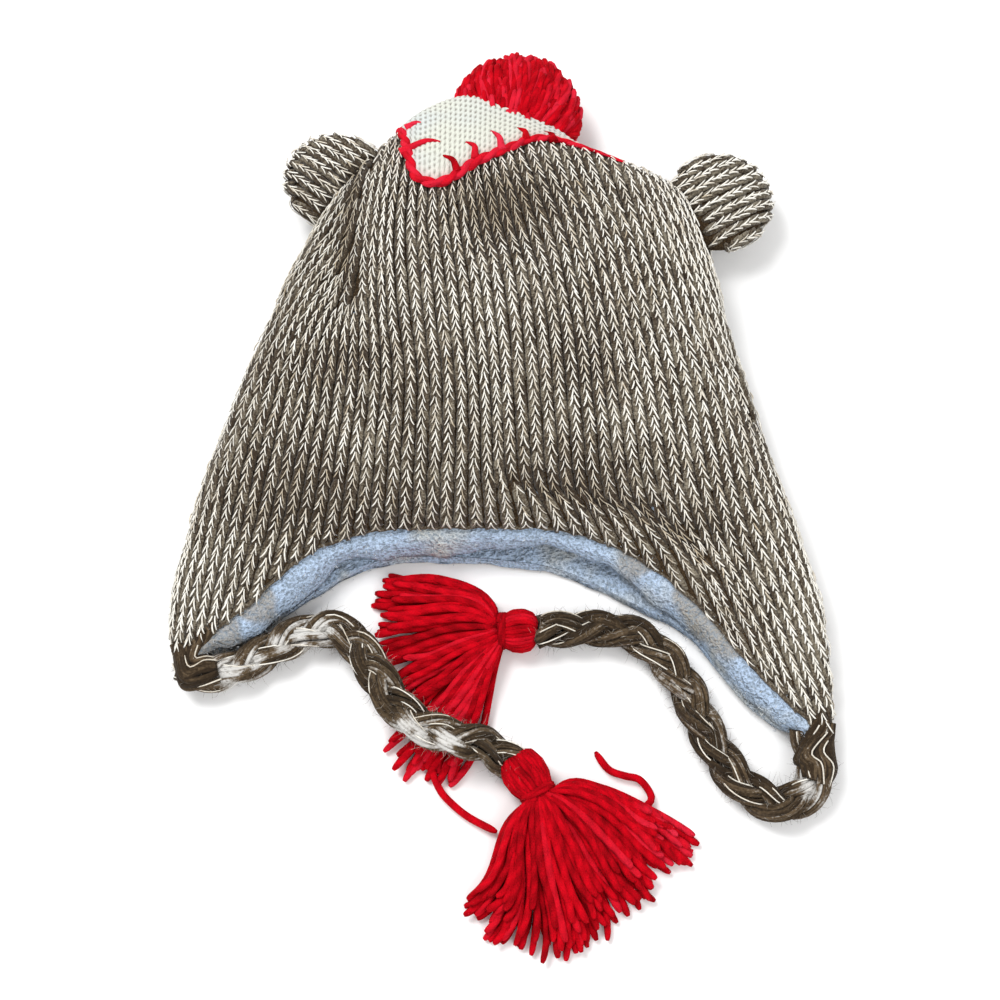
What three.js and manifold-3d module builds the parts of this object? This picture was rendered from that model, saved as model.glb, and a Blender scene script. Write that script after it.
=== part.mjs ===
// A knitted trapper hat with a fleece lining, two padded ears, a stitched-on crown patch with a
// red edging, a yarn pompom and two plaited ties that end in yarn tassels. It lies flat on its
// far wall: +Y runs from the opening to the crown's top, +X from the left flap to the right one.
// Lengths are in millimetres. Tables hold shares of the named sizes.
import * as THREE from 'three';
import { mergeVertices } from 'three/addons/utils/BufferGeometryUtils.js';
import Module from 'manifold-3d';

const wasm = await Module();
wasm.setup();

// Hat body
const BRIM_WIDTH = 292;
const HAT_LENGTH = 307.5;
const HAT_DEPTH = 54;
const HEM_ARCH = 76;
const KNIT_WALL = 3;
const LINING_WALL = 2.6;
const LINING_ROLL = 8;
const ROLL_NOSE = 1.2;
const GAP = 0.3;
// How far past the lining's nose what is cut by the hat is kept off it, in clearances
const NOSE_CLEARANCES = 3;
// Facets round each section of the hat, and rows of them from hem to top
const AROUND = 38;
const ROWS = 18;
// Halvings that find a point of the upper wall
const WALL_HALVINGS = 40;

// Ears
const EAR_WIDTH = 43;
const EAR_HEIGHT = 49;
const EAR_THICKNESS = 17;
const EAR_FACETS = { round: 18, rows: 9 };

// Crown patch and its edging
const PATCH_WALL = 2;
const PATCH_UNDER_EDGE = 5;
const EDGING_DIAMETER = 2.8;
// How far the edging's middle lies off the knit, as a share of its diameter
const EDGING_SEAT = 0.3;
const EDGING_STEPS = 24;
const EDGING_SIDES = 6;

// Pompom
const POMPOM_WIDTH = 64;
const POMPOM_HEIGHT = 38;
const POMPOM_TUFTS = 22;
const TUFT_WIDTH = 17;
const TUFT_HEIGHT = 4;
const TUFT_FACETS = { round: 5, rows: 3 };

// Ties and tassels
const TIE_DIAMETER = 17;
const TIE_STEPS = 32;
const TIE_SIDES = 8;
const HEAD_LENGTH = 20;
const HEAD_WIDTH = 15.5;
const HEAD_SIDES = 10;
// Where the strands leave the head, as a share of HEAD_LENGTH
const NECK_PLACE = 0.86;
const LOCK_THICKNESS = 8;
const LOCK_SIDES = 6;
const UPPER_LIFT = 5;

// How a tassel's lock runs from the neck to its end: along is a share of its length, wide of its
// width, thick of LOCK_THICKNESS, and drop is 0 at the neck's height and 1 on the surface.
const LOCK_SECTIONS = [
  { along: 0.05, wide: 0.36, thick: 0.95, drop: 0.1 },
  { along: 0.35, wide: 0.62, thick: 1.00, drop: 0.7 },
  { along: 0.75, wide: 0.98, thick: 1.00, drop: 1.0 },
  { along: 0.95, wide: 0.80, thick: 0.70, drop: 1.0 },
];

// The tassels' head from the tie to the neck: radius as a share of HEAD_WIDTH, along of
// HEAD_LENGTH.
const HEAD_PROFILE = [
  { radius: 0, along: 0 },
  { radius: 0.36, along: 0 },
  { radius: 0.5, along: 0.16 },
  { radius: 0.5, along: 0.5 },
  { radius: 0.43, along: 0.72 },
  { radius: 0.46, along: 0.86 },
  { radius: 0.36, along: 1 },
  { radius: 0, along: 1 },
];

// How the hat's outline and height run from the flap tips (first row) to the top of the crown
// (last row). X is a share of BRIM_WIDTH, Y of HAT_LENGTH, and top, side and under of HAT_DEPTH.
const SECTIONS = [
  { leftX: -0.495, leftY: 0.120, rightX: 0.498, rightY: 0.000, top: 0.50, side: 0.20, under: 0 },
  { leftX: -0.502, leftY: 0.166, rightX: 0.500, rightY: 0.055, top: 0.61, side: 0.22, under: 0 },
  { leftX: -0.500, leftY: 0.221, rightX: 0.496, rightY: 0.124, top: 0.72, side: 0.24, under: 0 },
  { leftX: -0.486, leftY: 0.280, rightX: 0.486, rightY: 0.205, top: 0.81, side: 0.27, under: 0 },
  { leftX: -0.469, leftY: 0.338, rightX: 0.461, rightY: 0.289, top: 0.89, side: 0.30, under: 0 },
  { leftX: -0.445, leftY: 0.416, rightX: 0.428, rightY: 0.384, top: 0.94, side: 0.31, under: 0 },
  { leftX: -0.413, leftY: 0.507, rightX: 0.390, rightY: 0.481, top: 0.98, side: 0.33, under: 0 },
  { leftX: -0.373, leftY: 0.611, rightX: 0.361, rightY: 0.592, top: 1.00, side: 0.34, under: 0 },
  { leftX: -0.332, leftY: 0.715, rightX: 0.348, rightY: 0.696, top: 0.98, side: 0.35, under: 0 },
  { leftX: -0.291, leftY: 0.800, rightX: 0.329, rightY: 0.790, top: 0.94, side: 0.36, under: 0 },
  { leftX: -0.247, leftY: 0.859, rightX: 0.284, rightY: 0.849, top: 0.89, side: 0.37, under: 0 },
  { leftX: -0.205, leftY: 0.911, rightX: 0.212, rightY: 0.885, top: 0.81, side: 0.38, under: 0 },
  { leftX: -0.144, leftY: 0.963, rightX: 0.137, rightY: 0.912, top: 0.70, side: 0.39, under: 0 },
  { leftX: -0.082, leftY: 0.992, rightX: 0.048, rightY: 0.976, top: 0.55, side: 0.39, under: 0.09 },
  { leftX: -0.027, leftY: 1.000, rightX: -0.027, rightY: 1.000, top: 0.39, side: 0.39, under: 0.39 },
];

// How far the two hems rise above the straight line between the flap tips, in even steps from
// the left tip to the right one, as shares of HEM_ARCH.
const HEM = [
  { near: 0.000, far: 0.000 },
  { near: 0.286, far: 0.154 },
  { near: 0.670, far: 0.453 },
  { near: 0.864, far: 0.717 },
  { near: 0.918, far: 0.813 },
  { near: 0.967, far: 0.843 },
  { near: 1.000, far: 0.818 },
  { near: 0.907, far: 0.663 },
  { near: 0.659, far: 0.449 },
  { near: 0.267, far: 0.070 },
  { near: 0.000, far: 0.000 },
];
const HEM_FADE_END = 0.65;
const HEM_FADE_POWER = 1.6;

// Folds and dents of the upper wall: a soft ridge (rise over 0) or dent (rise under 0) along a
// line. X and radius are shares of BRIM_WIDTH, Y of HAT_LENGTH, rise of HAT_DEPTH.
const FOLDS = [
  // Pleat by the left ear
  { fromX: -0.200, fromY: 0.860, toX: -0.200, toY: 0.640, radius: 0.030, rise: 0.08 },
  // Hollow left of the pleat
  { fromX: -0.262, fromY: 0.790, toX: -0.255, toY: 0.620, radius: 0.034, rise: -0.13 },
  // Dent under the patch
  { fromX: -0.035, fromY: 0.740, toX: 0.030, toY: 0.735, radius: 0.050, rise: -0.10 },
  // Soft ledge
  { fromX: -0.270, fromY: 0.500, toX: -0.170, toY: 0.488, radius: 0.032, rise: 0.06 },
  // Dent under the ledge
  { fromX: -0.270, fromY: 0.452, toX: -0.150, toY: 0.448, radius: 0.034, rise: -0.07 },
  // Crease above the right hem
  { fromX: 0.030, fromY: 0.345, toX: 0.350, toY: 0.255, radius: 0.026, rise: -0.09 },
  // Dent above the left hem
  { fromX: -0.340, fromY: 0.300, toX: -0.150, toY: 0.285, radius: 0.034, rise: -0.06 },
  // Slant fold at the right
  { fromX: 0.150, fromY: 0.840, toX: 0.280, toY: 0.610, radius: 0.040, rise: -0.07 },
  // Swell at the right
  { fromX: 0.200, fromY: 0.420, toX: 0.240, toY: 0.405, radius: 0.045, rise: 0.05 },
];

// The crown patch seen from above, in order round its edge. X is a share of BRIM_WIDTH, Y of
// HAT_LENGTH. The first eleven points are the edge that the edging follows.
const PATCH_OUTLINE = [
  { x: -0.163, y: 0.948 },
  { x: -0.151, y: 0.900 },
  { x: -0.141, y: 0.852 },
  { x: -0.130, y: 0.828 },
  { x: -0.101, y: 0.816 },
  { x: -0.075, y: 0.826 },
  { x: -0.039, y: 0.852 },
  { x: 0.021, y: 0.885 },
  { x: 0.045, y: 0.900 },
  { x: 0.082, y: 0.909 },
  { x: 0.128, y: 0.900 },
  { x: 0.200, y: 1.100 },
  { x: -0.200, y: 1.100 },
];
const PATCH_EDGE_POINTS = 11;
// Past the patch the edging runs on along the right shoulder of the crown.
const SHOULDER_EDGE = [
  { x: 0.165, y: 0.888 },
  { x: 0.200, y: 0.873 },
];

// Where the ears, the pompom and the tassels sit. X is a share of BRIM_WIDTH, Y of HAT_LENGTH
// and Z of HAT_DEPTH.
const EARS = [
  { name: 'ear_left', x: -0.268, y: 0.880, z: 0.34, turn: 14 },
  { name: 'ear_right', x: 0.359, y: 0.836, z: 0.34, turn: -14 },
];
const POMPOM_PLACE = { x: 0.036, y: 0.982 };

// The ties' routes, in millimetres from the middle of the hat's width at the height of the
// right flap's tip. They start under the flap tips and end at the tassels' heads.
const TIE_LEFT_ROUTE = [
  [-141.5, 32.5, 8.6],
  [-136.0, 28.6, 8.6],
  [-127.4, 27.4, 8.6],
  [-117.4, 30.6, 8.6],
  [-107.4, 36.0, 8.6],
  [-97.9, 41.8, 8.6],
  [-87.8, 46.8, 8.6],
  [-77.6, 48.6, 8.8],
  [-68.9, 44.1, 10.5],
  [-61.9, 35.0, 14.5],
  [-56.1, 24.5, 18.5],
  [-49.7, 14.0, 19.5],
  [-41.7, 5.5, 19.5],
  [-31.2, -0.7, 19.5],
  [-19.5, -4.5, 18.8],
  [-9.0, -6.6, 15.0],
  [-2.0, -8.8, 10.8],
  [4.0, -11.6, 8.8],
  [8.6, -14.4, 8.6],
];
const TIE_RIGHT_ROUTE = [
  [139.5, -3.0, 8.6],
  [141.2, -12.3, 8.6],
  [138.4, -22.0, 8.6],
  [130.5, -28.8, 8.6],
  [120.1, -29.5, 8.6],
  [109.5, -24.2, 8.6],
  [101.1, -15.4, 8.6],
  [95.4, -4.3, 8.6],
  [90.5, 8.4, 8.6],
  [85.7, 20.6, 8.6],
  [78.6, 32.6, 8.6],
  [69.4, 41.8, 8.6],
  [58.5, 47.2, 8.6],
  [46.9, 49.6, 8.6],
  [33.5, 49.6, 8.6],
  [21.4, 48.8, 8.6],
];

// The tassels: the lower locks of the fan by angle (degrees, anticlockwise from +X), and their
// length past the binding and width. The shorter upper locks lie on the lower ones.
const TASSELS = [
  {
    name: 'tassel_left',
    route: TIE_LEFT_ROUTE,
    fan: [
      { angle: -126, length: 62, wide: 21 },
      { angle: -110, length: 64, wide: 21 },
      { angle: -94, length: 70, wide: 21 },
      { angle: -80, length: 71, wide: 21 },
      { angle: -66, length: 69, wide: 21 },
      { angle: -50, length: 68, wide: 21 },
      { angle: -36, length: 70, wide: 21 },
      { angle: -20, length: 72, wide: 21 },
    ],
    upper: 5,
    upperShare: 0.72,
  },
  {
    name: 'tassel_right',
    route: TIE_RIGHT_ROUTE,
    fan: [
      { angle: 152, length: 54, wide: 19 },
      { angle: 167, length: 57, wide: 19 },
      { angle: 182, length: 58, wide: 19 },
      { angle: 197, length: 60, wide: 19 },
      { angle: 211, length: 66, wide: 19 },
      { angle: 225, length: 72, wide: 19 },
      { angle: 238, length: 78, wide: 19 },
      { angle: 252, length: 74, wide: 19 },
    ],
    upper: 4,
    upperShare: 0.66,
  },
];

// Materials
const paint = (name, colour, roughness) =>
  new THREE.MeshStandardMaterial({ name, color: colour, roughness, metalness: 0 });
const KNIT = () => paint('knit', 0x6f6455, 0.95);
const FLEECE = () => paint('fleece', 0x98a4b4, 1.0);
const CREAM = () => paint('cream', 0xdfe0d4, 0.95);
const RED = () => paint('red', 0xb3101c, 0.9);
const PLAIT = () => paint('plait', 0x5d5346, 0.95);

// Value of a table's column at t, from 0 at its first row to 1 at its last, smooth between rows.
function column(rows, name, t) {
  const place = THREE.MathUtils.clamp(t, 0, 1) * (rows.length - 1);
  const row = Math.min(Math.floor(place), rows.length - 2);
  const u = place - row;
  const at = (k) => rows[THREE.MathUtils.clamp(k, 0, rows.length - 1)][name];
  const [a, b, c, d] = [at(row - 1), at(row), at(row + 1), at(row + 2)];
  const linear = (c - a) * u;
  const square = (2 * a - 5 * b + 4 * c - d) * u * u;
  const cube = (3 * b - a - 3 * c + d) * u * u * u;
  return 0.5 * (2 * b + linear + square + cube);
}

// A point of the hat's outline, moved in by inset. side is 'left' or 'right'.
function rail(side, t, inset) {
  const at = (k) =>
    new THREE.Vector2(
      column(SECTIONS, side + 'X', k) * BRIM_WIDTH,
      column(SECTIONS, side + 'Y', k) * HAT_LENGTH,
    );
  const step = 0.01;
  const along = at(Math.min(t + step, 1)).sub(at(Math.max(t - step, 0))).normalize();
  const inward = side === 'left' ? 1 : -1;
  return at(t).add(new THREE.Vector2(along.y, -along.x).multiplyScalar(inset * inward));
}

// Height share of a section at s, from -1 at its left side to 1 at its right side.
function bulge(s, power) {
  return Math.pow(Math.max(0, 1 - Math.pow(Math.abs(s), power)), 1 / power);
}
const UPPER_POWER = 2.3;
const LOWER_POWER = 3.4;
const LOWER_FLATTENING = 1.05;

// Height that the folds add to the upper wall at x, y.
function foldRise(x, y) {
  let rise = 0;
  for (const fold of FOLDS) {
    const from = new THREE.Vector2(fold.fromX * BRIM_WIDTH, fold.fromY * HAT_LENGTH);
    const to = new THREE.Vector2(fold.toX * BRIM_WIDTH, fold.toY * HAT_LENGTH);
    const line = to.clone().sub(from);
    const offset = new THREE.Vector2(x, y).sub(from);
    const share = THREE.MathUtils.clamp(offset.dot(line) / line.lengthSq(), 0, 1);
    const distance = offset.distanceTo(line.multiplyScalar(share));
    const radius = fold.radius * BRIM_WIDTH;
    rise += fold.rise * HAT_DEPTH * Math.exp(-((distance / radius) ** 2));
  }
  return rise;
}

// A point of the hat's shell. t runs from the hem to the crown's top. angle runs round the
// section: 0 at the left side, over the upper wall to pi at the right side, and back below.
// inset moves it into the wall, and reach moves the hem out past its line.
function shellPoint(t, angle, inset, reach) {
  const left = rail('left', t, inset);
  const right = rail('right', t, inset);
  const s = -Math.cos(angle);
  const share = (s + 1) / 2;
  const upper = Math.sin(angle) > 0;
  const fade = Math.pow(Math.max(0, 1 - t / HEM_FADE_END), HEM_FADE_POWER);
  const arch = HEM_ARCH * column(HEM, upper ? 'near' : 'far', share) * fade;
  const x = THREE.MathUtils.lerp(left.x, right.x, share);
  const y = THREE.MathUtils.lerp(left.y, right.y, share) + arch;
  const side = column(SECTIONS, 'side', t) * HAT_DEPTH;
  if (upper) {
    const top = column(SECTIONS, 'top', t) * HAT_DEPTH - inset;
    const swell = bulge(s, UPPER_POWER);
    const z = side + (top - side) * swell + foldRise(x, y) * swell * swell;
    return new THREE.Vector3(x, y - reach * swell, z);
  }
  const under = Math.max(0, column(SECTIONS, 'under', t)) * HAT_DEPTH + inset;
  const press = Math.min(1, LOWER_FLATTENING * bulge(s, LOWER_POWER));
  return new THREE.Vector3(x, y, side + (under - side) * press);
}

// The shell's ring at t.
function ring(t, inset, reach) {
  const points = [];
  for (let i = 0; i < AROUND; i += 1) {
    points.push(shellPoint(t, (i / AROUND) * 2 * Math.PI, inset, reach));
  }
  return points;
}

// The point that closes the shell at the crown's top.
function crownTip(inset) {
  const left = rail('left', 1, inset);
  const right = rail('right', 1, inset);
  const z = column(SECTIONS, 'top', 1) * HAT_DEPTH;
  return new THREE.Vector3((left.x + right.x) / 2, (left.y + right.y) / 2, z);
}

// Rings from the crown's top down to the hem.
function ringsDown(inset) {
  const rings = [];
  for (let i = ROWS - 1; i >= 0; i -= 1) {
    rings.push(ring(i / ROWS, inset, 0));
  }
  return rings;
}

// A closed mesh from a tip, rings and a second tip or a flat zip between a ring's two halves.
// From the turn ring on, the rings go back up inside, and their facets lie as the outer ones do.
function loft(tip, rings, end, turn) {
  const around = rings[0].length;
  const points = [tip, ...rings.flat()];
  const faces = [];
  const at = (row, i) => 1 + row * around + ((i + around) % around);
  for (let i = 0; i < around; i += 1) {
    faces.push(0, at(0, i), at(0, i + 1));
    for (let row = 0; row + 1 < rings.length; row += 1) {
      const corners = [at(row, i), at(row + 1, i), at(row + 1, i + 1), at(row, i + 1)];
      const [a, b, c, d] = row < turn ? corners : [corners[1], corners[2], corners[3], corners[0]];
      faces.push(a, b, d, d, b, c);
    }
  }
  const last = rings.length - 1;
  if (end) {
    points.push(end);
    for (let i = 0; i < around; i += 1) {
      faces.push(points.length - 1, at(last, i + 1), at(last, i));
    }
  } else {
    const side = around / 2;
    faces.push(at(last, 0), at(last, -1), at(last, 1));
    for (let i = 1; i + 1 < side; i += 1) {
      faces.push(at(last, i), at(last, -i), at(last, i + 1));
      faces.push(at(last, i + 1), at(last, -i), at(last, -i - 1));
    }
    faces.push(at(last, side - 1), at(last, side + 1), at(last, side));
  }
  const geometry = new THREE.BufferGeometry();
  geometry.setAttribute(
    'position',
    new THREE.Float32BufferAttribute(points.flatMap((p) => [p.x, p.y, p.z]), 3),
  );
  geometry.setIndex(faces);
  return geometry;
}

// A wall of the hat between two insets, with its hem's nose pushed out by reach.
function wallGeometry(outer, inner, reach, nose) {
  const hem = [];
  if (reach > 0) hem.push(ring(0, outer, reach));
  hem.push(ring(0, (outer + inner) / 2, reach + nose));
  if (reach > 0) hem.push(ring(0, inner, reach));
  const rings = [...ringsDown(outer), ...hem, ...ringsDown(inner).reverse()];
  return loft(crownTip(outer), rings, crownTip(inner), ROWS + hem.length - 1);
}

// The whole space of the hat, grown by clearance, which cuts what is seated against it.
function plugGeometry(clearance) {
  const mouth = ring(0, -clearance, LINING_ROLL + ROLL_NOSE);
  const below = NOSE_CLEARANCES * clearance;
  const rings = [...ringsDown(-clearance), mouth.map((p) => p.setY(p.y - below))];
  return loft(crownTip(-clearance), rings, null, rings.length);
}

// Height of the upper wall's outside above x, y.
function wallHeight(x, y, outset) {
  let low = 0;
  let high = 1;
  let angle = 0;
  for (let i = 0; i < WALL_HALVINGS; i += 1) {
    const t = (low + high) / 2;
    const left = rail('left', t, -outset);
    const right = rail('right', t, -outset);
    const s = THREE.MathUtils.clamp((2 * (x - left.x)) / (right.x - left.x) - 1, -1, 1);
    angle = Math.acos(-s);
    if (shellPoint(t, Math.max(angle, 1e-4), -outset, 0).y < y) low = t;
    else high = t;
  }
  return shellPoint(low, Math.max(angle, 1e-4), -outset, 0).z;
}

// A geometry as a solid that can be joined or cut.
function solidOf(geometry) {
  const bare = geometry.clone();
  bare.deleteAttribute('normal');
  bare.deleteAttribute('uv');
  const merged = mergeVertices(bare, 1e-4);
  return new wasm.Manifold(
    new wasm.Mesh({
      numProp: 3,
      vertProperties: new Float32Array(merged.attributes.position.array),
      triVerts: new Uint32Array(merged.index.array),
    }),
  );
}

// A solid back as a geometry.
function geometryOf(solid) {
  const mesh = solid.getMesh();
  const geometry = new THREE.BufferGeometry();
  geometry.setAttribute('position', new THREE.Float32BufferAttribute(mesh.vertProperties, 3));
  geometry.setIndex(Array.from(mesh.triVerts));
  return geometry;
}

// The largest of a solid's separate bodies.
function mainBody(solid) {
  const bodies = solid.decompose();
  return bodies.reduce((best, body) => (body.volume() > best.volume() ? body : best));
}

function piece(name, geometry, material) {
  geometry.computeVertexNormals();
  const mesh = new THREE.Mesh(geometry, material);
  mesh.name = name;
  return mesh;
}

// A box of the space above a height.
function spaceAbove(height) {
  const span = 3 * BRIM_WIDTH;
  return solidOf(new THREE.BoxGeometry(span, span, span).translate(0, 0, span / 2 + height));
}

function sweep(points, radius, steps, sides) {
  const section = new THREE.Shape();
  for (let i = 0; i < sides; i += 1) {
    const angle = (i / sides) * 2 * Math.PI;
    const [x, y] = [radius * Math.cos(angle), radius * Math.sin(angle)];
    if (i === 0) section.moveTo(x, y);
    else section.lineTo(x, y);
  }
  const path = new THREE.CatmullRomCurve3(points, false, 'centripetal');
  return new THREE.ExtrudeGeometry(section, { steps, bevelEnabled: false, extrudePath: path });
}

function crownKnit() {
  const geometry = wallGeometry(0, KNIT_WALL, 0, ROLL_NOSE);
  return piece('crown_knit', geometry, KNIT());
}

function fleeceLining() {
  const outer = KNIT_WALL + GAP;
  const geometry = wallGeometry(outer, outer + LINING_WALL, LINING_ROLL, ROLL_NOSE);
  return piece('fleece_lining', geometry, FLEECE());
}

// A padded ear, cut to the crown that it is sewn to.
function ear({ name, x, y, z, turn }) {
  const pad = new THREE.SphereGeometry(1, EAR_FACETS.round, EAR_FACETS.rows);
  pad.rotateX(Math.PI / 2);
  pad.scale(EAR_WIDTH / 2, EAR_HEIGHT / 2, EAR_THICKNESS / 2);
  pad.rotateZ(THREE.MathUtils.degToRad(turn));
  pad.translate(x * BRIM_WIDTH, y * HAT_LENGTH, z * HAT_DEPTH);
  const cut = solidOf(pad).subtract(solidOf(plugGeometry(GAP)));
  return piece(name, geometryOf(mainBody(cut)), KNIT());
}

// Points of the edging, on the outside of the upper wall.
function edgingRoute() {
  const edge = [...PATCH_OUTLINE.slice(0, PATCH_EDGE_POINTS), ...SHOULDER_EDGE];
  return edge.map(({ x, y }) => {
    const [px, py] = [x * BRIM_WIDTH, y * HAT_LENGTH];
    return new THREE.Vector3(px, py, wallHeight(px, py, GAP + EDGING_DIAMETER * EDGING_SEAT));
  });
}

function edgingSweep(radius) {
  return sweep(edgingRoute(), radius, EDGING_STEPS, EDGING_SIDES);
}

function patchEdging() {
  const cord = solidOf(edgingSweep(EDGING_DIAMETER / 2));
  const cut = cord.subtract(solidOf(plugGeometry(GAP)));
  return piece('patch_edging', geometryOf(mainBody(cut)), RED());
}

// The patch lies on the crown, inside its edging, and wraps over the crown's top edge.
function crownPatch() {
  const outline = new THREE.Shape(
    PATCH_OUTLINE.map(({ x, y }) => new THREE.Vector2(x * BRIM_WIDTH, y * HAT_LENGTH)),
  );
  const cutter = new THREE.ExtrudeGeometry(outline, { depth: 2 * HAT_DEPTH, bevelEnabled: false });
  cutter.translate(0, 0, PATCH_UNDER_EDGE);
  const skin = solidOf(plugGeometry(GAP + PATCH_WALL)).subtract(solidOf(plugGeometry(GAP)));
  const shaped = skin.intersect(solidOf(cutter));
  const cut = shaped.subtract(solidOf(edgingSweep(EDGING_DIAMETER / 2 + GAP)));
  return piece('crown_patch', geometryOf(mainBody(cut)), CREAM());
}

// A flattened yarn ball in tufts, seated against the crown's top edge.
function pompom() {
  const core = new THREE.IcosahedronGeometry(POMPOM_WIDTH / 2 - TUFT_HEIGHT, 2);
  let ball = solidOf(core);
  const golden = Math.PI * (3 - Math.sqrt(5));
  for (let i = 0; i < POMPOM_TUFTS; i += 1) {
    const height = 1 - (2 * (i + 0.5)) / POMPOM_TUFTS;
    const spread = Math.sqrt(1 - height * height);
    const way = new THREE.Vector3(
      spread * Math.cos(i * golden),
      spread * Math.sin(i * golden),
      height,
    );
    const tuft = new THREE.SphereGeometry(TUFT_WIDTH / 2, TUFT_FACETS.round, TUFT_FACETS.rows);
    const depth = (POMPOM_WIDTH - TUFT_WIDTH) / 2;
    tuft.rotateX(i);
    tuft.translate(way.x * depth, way.y * depth, way.z * depth);
    ball = ball.add(solidOf(tuft));
  }
  const flat = geometryOf(ball);
  flat.scale(1, 1, POMPOM_HEIGHT / POMPOM_WIDTH);
  flat.computeBoundingBox();
  flat.translate(
    POMPOM_PLACE.x * BRIM_WIDTH,
    POMPOM_PLACE.y * HAT_LENGTH,
    -flat.boundingBox.min.z - ROLL_NOSE,
  );
  const seat = solidOf(plugGeometry(GAP + PATCH_WALL + GAP));
  const cut = solidOf(flat).intersect(spaceAbove(0)).subtract(seat);
  return piece('pompom', geometryOf(mainBody(cut)), RED());
}

const route = (points) => points.map((p) => new THREE.Vector3(...p));

function tieSweep(points, radius) {
  return sweep(route(points), radius, TIE_STEPS, TIE_SIDES);
}

// A plaited tie, cut to the flap that it comes out of.
function tie(name, points) {
  const cord = solidOf(tieSweep(points, TIE_DIAMETER / 2));
  const cut = cord.subtract(solidOf(plugGeometry(GAP)));
  return piece(name, geometryOf(mainBody(cut)), PLAIT());
}

// A flat lock of yarn in a tassel's fan, from its neck to its end on the surface. It widens from
// the neck to its tip, and lift is how far its underside lies above the surface.
function lock(neck, angle, length, width, lift) {
  const heading = new THREE.Vector3(Math.cos(angle), Math.sin(angle), 0);
  const across = new THREE.Vector3(-heading.y, heading.x, 0);
  const rest = (LOCK_THICKNESS * Math.sin(Math.PI / 3)) / 2 + lift;
  const section = ({ along, wide, thick, drop }) => {
    const middle = neck.clone().addScaledVector(heading, along * length);
    middle.z = THREE.MathUtils.lerp(neck.z, rest, drop);
    return [...Array(LOCK_SIDES).keys()].map((i) => {
      const turn = (i / LOCK_SIDES) * 2 * Math.PI;
      const point = middle.clone().addScaledVector(across, (wide * width * Math.cos(turn)) / 2);
      return point.setZ(point.z + (thick * LOCK_THICKNESS * Math.sin(turn)) / 2);
    });
  };
  const rings = LOCK_SECTIONS.map(section).reverse();
  const end = neck.clone().addScaledVector(heading, length).setZ(rest);
  return solidOf(loft(end, rings, neck, rings.length));
}

// A tassel: a bound head in line with its tie, and strands that fan out from its neck.
function tassel({ name, route: points, fan, upper, upperShare }) {
  const path = new THREE.CatmullRomCurve3(route(points), false, 'centripetal');
  const along = path.getTangentAt(1);
  const start = path.getPointAt(1).addScaledVector(along, GAP);
  const profile = HEAD_PROFILE.map(
    ({ radius, along: share }) => new THREE.Vector2(radius * HEAD_WIDTH, share * HEAD_LENGTH),
  );
  const head = new THREE.LatheGeometry(profile, HEAD_SIDES);
  const axis = new THREE.Quaternion().setFromUnitVectors(new THREE.Vector3(0, 1, 0), along);
  head.applyQuaternion(axis);
  head.translate(start.x, start.y, start.z);
  let body = solidOf(head);
  const neck = start.clone().addScaledVector(along, HEAD_LENGTH * NECK_PLACE);
  fan.forEach(({ angle, length, wide }) => {
    const heading = THREE.MathUtils.degToRad(angle);
    body = body.add(lock(neck, heading, length, wide, 0));
  });
  for (let i = 0; i < upper; i += 1) {
    const t = (i + 0.5) / upper;
    const heading = THREE.MathUtils.degToRad(column(fan, 'angle', t));
    const length = column(fan, 'length', t) * upperShare;
    body = body.add(lock(neck, heading, length, column(fan, 'wide', t), UPPER_LIFT));
  }
  const over = solidOf(tieSweep(TIE_LEFT_ROUTE, TIE_DIAMETER / 2 + GAP));
  const cut = body.subtract(over).intersect(spaceAbove(0));
  return piece(name, geometryOf(mainBody(cut)), RED());
}

const hat = new THREE.Group();
hat.add(crownKnit());
hat.add(fleeceLining());
for (const place of EARS) hat.add(ear(place));
hat.add(crownPatch());
hat.add(patchEdging());
hat.add(pompom());

const cords = new THREE.Group();
cords.add(tie('tie_left', TIE_LEFT_ROUTE));
cords.add(tie('tie_right', TIE_RIGHT_ROUTE));
for (const each of TASSELS) cords.add(tassel(each));

// The origin is the middle of the hat's underside, without its ties and tassels.
const box = new THREE.Box3().setFromObject(hat);
const middle = box.getCenter(new THREE.Vector3());
const group = new THREE.Group();
group.add(hat, cords);
group.position.set(-middle.x, -middle.y, -box.min.z);

export default group;
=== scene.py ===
"""Looks of a knitted trapper hat: knit, fleece lining, padded ears, plaited ties and yarn tassels.

Sizes are in metres unless a name ends in _mm or _MM. The hat's form follows the CAD model's tables
of shares of its named sizes. The lower hem, the patch over the top edge and the ties' routes
follow the photo more closely, and differ from the CAD model's by a few millimetres.
"""

import logging
import math
from collections.abc import Callable
from dataclasses import dataclass, field
from enum import Enum

import bmesh
import bpy
import numpy as np
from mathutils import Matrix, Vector

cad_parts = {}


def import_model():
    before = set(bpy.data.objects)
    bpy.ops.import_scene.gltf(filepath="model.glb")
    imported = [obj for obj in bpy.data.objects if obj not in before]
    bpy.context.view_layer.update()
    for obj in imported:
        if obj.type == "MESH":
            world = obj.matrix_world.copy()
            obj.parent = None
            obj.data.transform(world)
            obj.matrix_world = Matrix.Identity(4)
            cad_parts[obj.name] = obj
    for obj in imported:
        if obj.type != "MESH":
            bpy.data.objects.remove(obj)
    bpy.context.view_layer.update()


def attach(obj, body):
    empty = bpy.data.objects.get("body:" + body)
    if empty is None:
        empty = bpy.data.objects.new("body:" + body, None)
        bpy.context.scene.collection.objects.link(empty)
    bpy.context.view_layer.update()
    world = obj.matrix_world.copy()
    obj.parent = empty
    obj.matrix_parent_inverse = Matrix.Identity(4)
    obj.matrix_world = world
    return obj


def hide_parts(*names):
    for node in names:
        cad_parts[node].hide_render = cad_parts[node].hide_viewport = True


logging.basicConfig(level=logging.INFO, format="%(message)s")
LOG = logging.getLogger("hat")

MM = 0.001
BODY = "root"
# How far all strands stay off the surface that the hat lies on
LOWEST = 0.0001

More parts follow.
